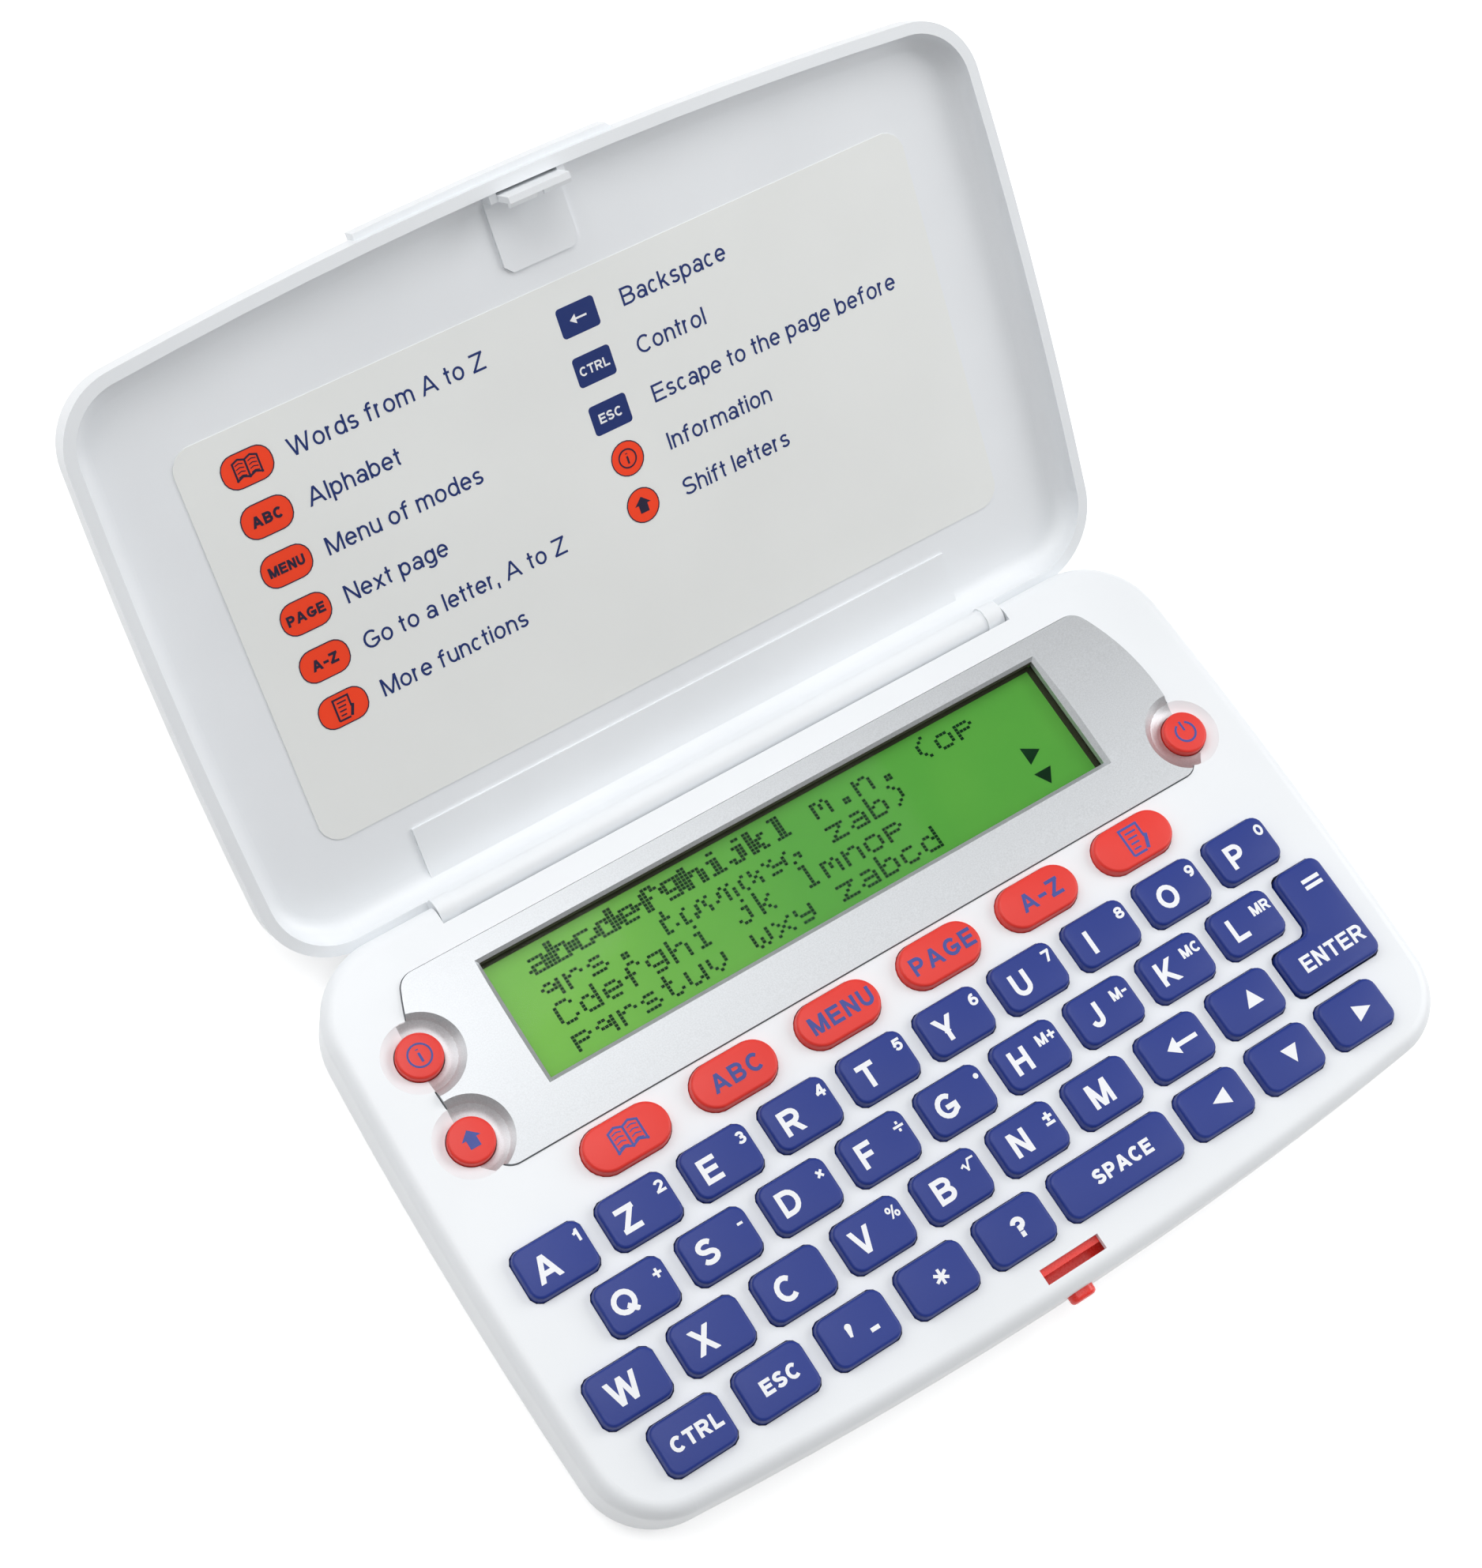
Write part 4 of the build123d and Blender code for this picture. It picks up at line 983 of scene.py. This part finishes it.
class DICT_OT_screws(bpy.types.Operator):
    """Model the case screws and the battery door's screw"""

    bl_idname = "dictionary.screws"
    bl_label = "Screws"

    def execute(self, context):
        # Zinc-plated steel, cold headed and rolled: bright, with a slightly uneven sheen.
        zinc = bare_metal("zinc_plated_steel", "#A9ABAD", "#C4C6C8", 0.5, 3.0, 0.25)
        bm = bmesh.new()
        for x, y in ((60.0, -29.5), (-60.0, -29.5), (59.0, 33.6), (-59.0, 33.6)):
            self.screw(bm, x, y, 0.8, 2.0, 8.6)
        self.screw(bm, 21.2, 18.0, 0.1, 0.9, 3.7)
        smooth_by_angle(bm)
        # Painted shade: a dark grey that stands for the shade inside the cross recess.
        recess = moulded("painted_shade_cross_recess", linear("#2B2C2E"), 0.6, 0.3, 0.002, 0.1)
        piece("cross_head_screws", bm, [zinc, recess], "base", "steel", "case_screws")
        return {"FINISHED"}

    def screw(self, bm, x, y, low, seat, tip):
        """A pan head with a cross recess, seen from below, on a tapered thread."""
        def turned(start, end, wide, narrow, segments, cap_ends=True):
            return bmesh.ops.create_cone(
                bm, cap_ends=cap_ends, segments=segments, radius1=wide * MM, radius2=narrow * MM,
                depth=(end - start) * MM,
                matrix=Matrix.Translation(Vector((x, y, (start + end) / 2)) * MM))["verts"]

        head = turned(low, seat, 1.75, 1.75, 32)
        linked = {e for v in head for e in v.link_edges}
        bevel(bm, [e for e in edges_at(bm, low * MM) if e in linked], 0.3 * MM, 3)
        # The cross is drawn on the head as two crossed grooves whose dark floor is painted shade.
        groove = Matrix.Diagonal((2.0 * MM, 0.42 * MM, 0.02 * MM, 1))
        for turn in (45, 135):
            spot = Matrix.Translation(Vector((x, y, low - 0.005 + turn * 1e-5)) * MM)
            verts = bmesh.ops.create_cube(
                bm, size=1.0, matrix=spot @ Matrix.Rotation(math.radians(turn), 4, "Z") @ groove)["verts"]
            for face in {f for v in verts for f in v.link_faces}:
                face.material_index = 1
        level = seat
        while level + THREAD_PITCH < tip:
            turned(level, level + THREAD_PITCH, 0.92, THREAD_CORE, 16, False)
            level += THREAD_PITCH
        turned(seat, tip, THREAD_CORE, THREAD_CORE, 16)


THREAD_PITCH = 0.45
THREAD_CORE = 0.7


class DICT_OT_label(bpy.types.Operator):
    """Finish the label inside the lid and print it"""

    bl_idname = "dictionary.label"
    bl_label = "Quick reference label"

    def execute(self, context):
        colours = context.scene.dictionary_colours
        height = context.scene.dictionary_sizes.label_text / MM
        # Printed polyester film: a satin face with a slight orange peel.
        film = moulded("satin_polyester_film", colours.label, 0.32, 1.2, 0.004, 0.03)
        finish(film, "quick_reference_label")
        # Screen-printed inks: flat, a little glossier than the film.
        red = moulded("orange_red_screen_ink", colours.label_red, 0.38, 0.4, 0.002, 0.06)
        blue = moulded("navy_screen_ink", colours.label_blue, 0.4, 0.4, 0.002, 0.06)
        # The same navy ink over the orange red comes out nearly black.
        dark = moulded("navy_ink_over_red", linear("#1F1B38"), 0.4, 0.4, 0.002, 0.06)
        pale = moulded("white_screen_ink", linear("#F4F5F7"), 0.45, 0.4, 0.002, 0.04)
        # The print is laid out with the lid closed, seen from below, then swung open.
        opened = Matrix.Translation(HINGE) @ Matrix.Rotation(OPEN_ANGLE, 4, "X")
        turn = opened @ Matrix.Translation(-HINGE) @ Matrix.Rotation(math.pi, 4, "X")
        level = -LABEL_LEVEL * MM
        reds, blues, over_red, over_blue = (Print(level + lift * MM) for lift in (0, 0, INK, INK))
        foot = HINGE.y / MM
        pill = rounded(3.3, 2.1, 1.9)
        for row, (words, draw) in enumerate(LEFT_COLUMN):
            y = LEFT_TOP - LEFT_PITCH * row - foot
            reds.shape(pill, PILL_X, y)
            over_red.line(pill + pill[:1], OUTLINE, PILL_X, y)
            draw(over_red, PILL_X, y)
            blues.words(words, LEFT_TEXT_X, y, height, TEXT_WEIGHT, "LEFT")
        for row, (words, draw) in enumerate(RIGHT_COLUMN):
            y = RIGHT_TOP - RIGHT_PITCH * row - foot
            blues.words(words, RIGHT_TEXT_X, y, height, TEXT_WEIGHT, "LEFT")
            if row < BOX_ROWS:
                blues.shape(rounded(2.7, 1.95, 0.5), BOX_X, y)
                draw(over_blue, BOX_X, y)
            else:
                y += CIRCLE_RISE
                reds.shape(arc(CIRCLE_RADIUS, 0, 345, 23), CIRCLE_X, y)
                over_red.line(arc(CIRCLE_RADIUS, 0, 360, 24), OUTLINE, CIRCLE_X, y)
                draw(over_red, CIRCLE_X, y)
        reds.make("label_red_print", red, "lid", "label", turn)
        blues.make("label_navy_print", blue, "lid", "label", turn)
        over_red.make("label_signs_on_red", dark, "lid", "label", turn)
        over_blue.make("label_signs_on_navy", pale, "lid", "label", turn)
        return {"FINISHED"}

# The print's places in millimetres: across from the label's middle line, and out from the hinge.
LABEL_LEVEL = 14.45
LEFT_TOP, LEFT_PITCH = 60.32, 6.46
RIGHT_TOP, RIGHT_PITCH = 60.16, 6.5
PILL_X, LEFT_TEXT_X = -43.7, -38.3
BOX_X, CIRCLE_X, RIGHT_TEXT_X = 1.9, 2.2, 8.2
BOX_ROWS = 3
CIRCLE_RADIUS = 2.25
CIRCLE_RISE = 0.35
OUTLINE = 0.13
TEXT_WEIGHT = 0.125
LEFT_COLUMN = (
    ("Words from A to Z", sign(draw_book, 2.6)),
    ("Alphabet", word("ABC", 1.4, 0.24)),
    ("Menu of modes", word("MENU", 1.3, 0.23)),
    ("Next page", word("PAGE", 1.35, 0.23)),
    ("Go to a letter, A to Z", word("A-Z", 1.4, 0.24)),
    ("More functions", sign(draw_note, 2.7)),
)
RIGHT_COLUMN = (
    ("Backspace", sign(draw_back_arrow, 2.4, 0.25)),
    ("Control", word("CTRL", 1.2, 0.19)),
    ("Escape to the page before", word("ESC", 1.25, 0.19)),
    ("Information", sign(draw_info, 2.4)),
    ("Shift letters", sign(draw_shift, 2.3)),
)


class DICT_OT_latch(bpy.types.Operator):
    """Finish the latch slider"""

    bl_idname = "dictionary.latch"
    bl_label = "Release button"

    def execute(self, context):
        colour = context.scene.dictionary_colours.release
        # Red ABS, moulded in a polished tool: glossier than the keys, and it lets some light through; a faint
        # painted glow also lightens the shade in its slot.
        red, tree = new_material("moulded_red_ABS")
        drift = spread(tree, grain(tree, 8.0), 0.0, 1.0)
        fine = grain(tree, 0.3, 3.0)
        surface(tree, {
            "Base Color": shaded(tree, drift, scaled(colour, 0.92), colour),
            "Roughness": spread(tree, fine, 0.24, 0.32), "IOR": 1.53,
            "Subsurface Weight": 0.4, "Subsurface Radius": (1.0, 0.25, 0.15), "Subsurface Scale": MM,
            # Painted glow: the red gives off a little light of its own, to lighten the shaded slot.
            "Emission Color": rgba(colour), "Emission Strength": 0.08,
        }, fine, 0.003)
        finish(red, "release_button")
        # The knob's smooth face is drawn lying flat, then stood up at the front of the slider.
        low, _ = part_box("release_button")
        radius, depth, margin = 1.14 * MM, 1.5 * MM, 0.04 * MM
        flat = 0.7 * MM
        outline = arc(radius, -90, 90, 16, flat) + arc(radius, 90, 270, 16, -flat)
        bm = bmesh.new()
        front = margin / 2 - low.y
        add_flat(bm, outline, front - depth, front)
        bevel(bm, edges_at(bm, front), 0.55 * MM, 5)
        bmesh.ops.rotate(bm, verts=bm.verts, cent=(0, 0, 0), matrix=Matrix.Rotation(math.pi / 2, 3, "X"))
        bmesh.ops.translate(bm, verts=bm.verts, vec=(0, 0, low.z + radius - margin))
        bmesh.ops.recalc_face_normals(bm, faces=bm.faces)
        smooth_by_angle(bm)
        piece("latch_knob", bm, [red], BODIES["release_button"], "red_plastic")
        return {"FINISHED"}


# Each lamp's place and side in metres, and its power in watts.
LAMPS = (
    ("rear_lamp", (-0.10, 0.35, 0.62), 0.5, 1.4),
    ("top_lamp", (0.0, 0.05, 0.9), 0.8, 2.6),
    ("right_lamp", (0.62, -0.12, 0.42), 0.5, 2.5),
    ("left_lamp", (-0.5, 0.45, 0.45), 0.5, 1.2),
)
LAMP_TARGET = Vector((0, 0, 0.01))


class DICT_OT_stage(bpy.types.Operator):
    """Set up the floor, the lamps, the world and the camera"""

    bl_idname = "dictionary.stage"
    bl_label = "Floor, light and camera"

    def execute(self, context):
        scene = context.scene
        scene.view_settings.view_transform = "Standard"
        self.floor()
        self.world(scene)
        for name, spot, size, power in LAMPS:
            lamp = bpy.data.lights.new(name, "AREA")
            lamp.shape = "SQUARE"
            lamp.size = size
            lamp.energy = power
            item = new_object(name, lamp)
            item.location = spot
            item.rotation_euler = (LAMP_TARGET - Vector(spot)).to_track_quat("-Z", "Y").to_euler()
        self.camera(scene)
        return {"FINISHED"}

    def floor(self):
        """A plain pale floor that shows as white where it is fully lit, and keeps the shadow."""
        material, tree = new_material("pale_matt_board")
        rays = add_node(tree, "ShaderNodeLightPath")
        seen = rays.outputs["Is Camera Ray"]
        for name in ("Is Glossy Ray", "Is Transmission Ray"):
            inputs = {0: seen, 1: rays.outputs[name]}
            seen = add_node(tree, "ShaderNodeMath", inputs, operation="MAXIMUM").outputs[0]
        tone = spread(tree, grain(tree, 3.0), 0.97, 1.0)
        glow = add_node(tree, "ShaderNodeMath", {0: seen, 1: 0.45}, operation="MULTIPLY")
        surface(tree, {
            "Base Color": shaded(tree, tone, linear("#E6E6E6"), linear("#F0F0F0")),
            "Roughness": 0.9, "Emission Color": (1, 1, 1, 1), "Emission Strength": glow.outputs[0],
        })
        bm = bmesh.new()
        bmesh.ops.create_grid(bm, x_segments=1, y_segments=1, size=3.0)
        new_object("floor", mesh_of("floor", bm, [material]))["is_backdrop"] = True

    def world(self, scene):
        world = bpy.data.worlds.new("studio")
        world.use_nodes = True
        tree = world.node_tree
        tree.nodes.clear()
        rays = add_node(tree, "ShaderNodeLightPath")
        strength = add_node(tree, "ShaderNodeMapRange", {
            "Value": rays.outputs["Is Camera Ray"], "To Min": 0.25, "To Max": 1.0})
        sky = add_node(tree, "ShaderNodeBackground", {
            "Color": (1, 1, 1, 1), "Strength": strength.outputs["Result"]})
        add_node(tree, "ShaderNodeOutputWorld", {"Surface": sky.outputs[0]})
        scene.world = world

    def camera(self, scene):
        data = bpy.data.cameras.new("camera")
        data.sensor_width = 36
        data.lens = 62.57
        data.clip_start = 0.01
        data.clip_end = 20
        item = new_object("camera", data)
        item.location = (-0.12198, -0.05535, 0.32825)
        item.rotation_euler = [math.radians(a) for a in (23.864, -9.181, -33.198)]
        scene.camera = item


class DICT_PT_panel(bpy.types.Panel):
    """Lists the sizes, the colours and the steps of the build"""

    bl_idname = "DICT_PT_panel"
    bl_label = "Pocket dictionary"
    bl_space_type = "VIEW_3D"
    bl_region_type = "UI"
    bl_category = "Dictionary"

    def draw(self, context):
        for group in (context.scene.dictionary_sizes, context.scene.dictionary_colours):
            box = self.layout.box()
            for name in group.bl_rna.properties.keys():
                if name not in ("name", "rna_type"):
                    box.prop(group, name)
        for step in STEPS:
            self.layout.operator(step.bl_idname)


STEPS = (
    DICT_OT_case, DICT_OT_screws, DICT_OT_keys, DICT_OT_red_keys, DICT_OT_display, DICT_OT_dishes,
    DICT_OT_label, DICT_OT_latch, DICT_OT_stage,
)
CLASSES = (DictionaryColours, DictionarySizes, *STEPS, DICT_PT_panel)


def register():
    for cls in CLASSES:
        bpy.utils.register_class(cls)
    bpy.types.Scene.dictionary_colours = PointerProperty(type=DictionaryColours)
    bpy.types.Scene.dictionary_sizes = PointerProperty(type=DictionarySizes)


def unregister():
    del bpy.types.Scene.dictionary_sizes
    del bpy.types.Scene.dictionary_colours
    for cls in reversed(CLASSES):
        bpy.utils.unregister_class(cls)


def main():
    register()
    for step in STEPS:
        group, name = step.bl_idname.split(".")
        getattr(getattr(bpy.ops, group), name)()
    boxes = {"cad": CAD_BOX, "visual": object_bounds()}
    boxes = {name: [list(corner) for corner in box] for name, box in boxes.items()}


if __name__ == "__main__":
    main()
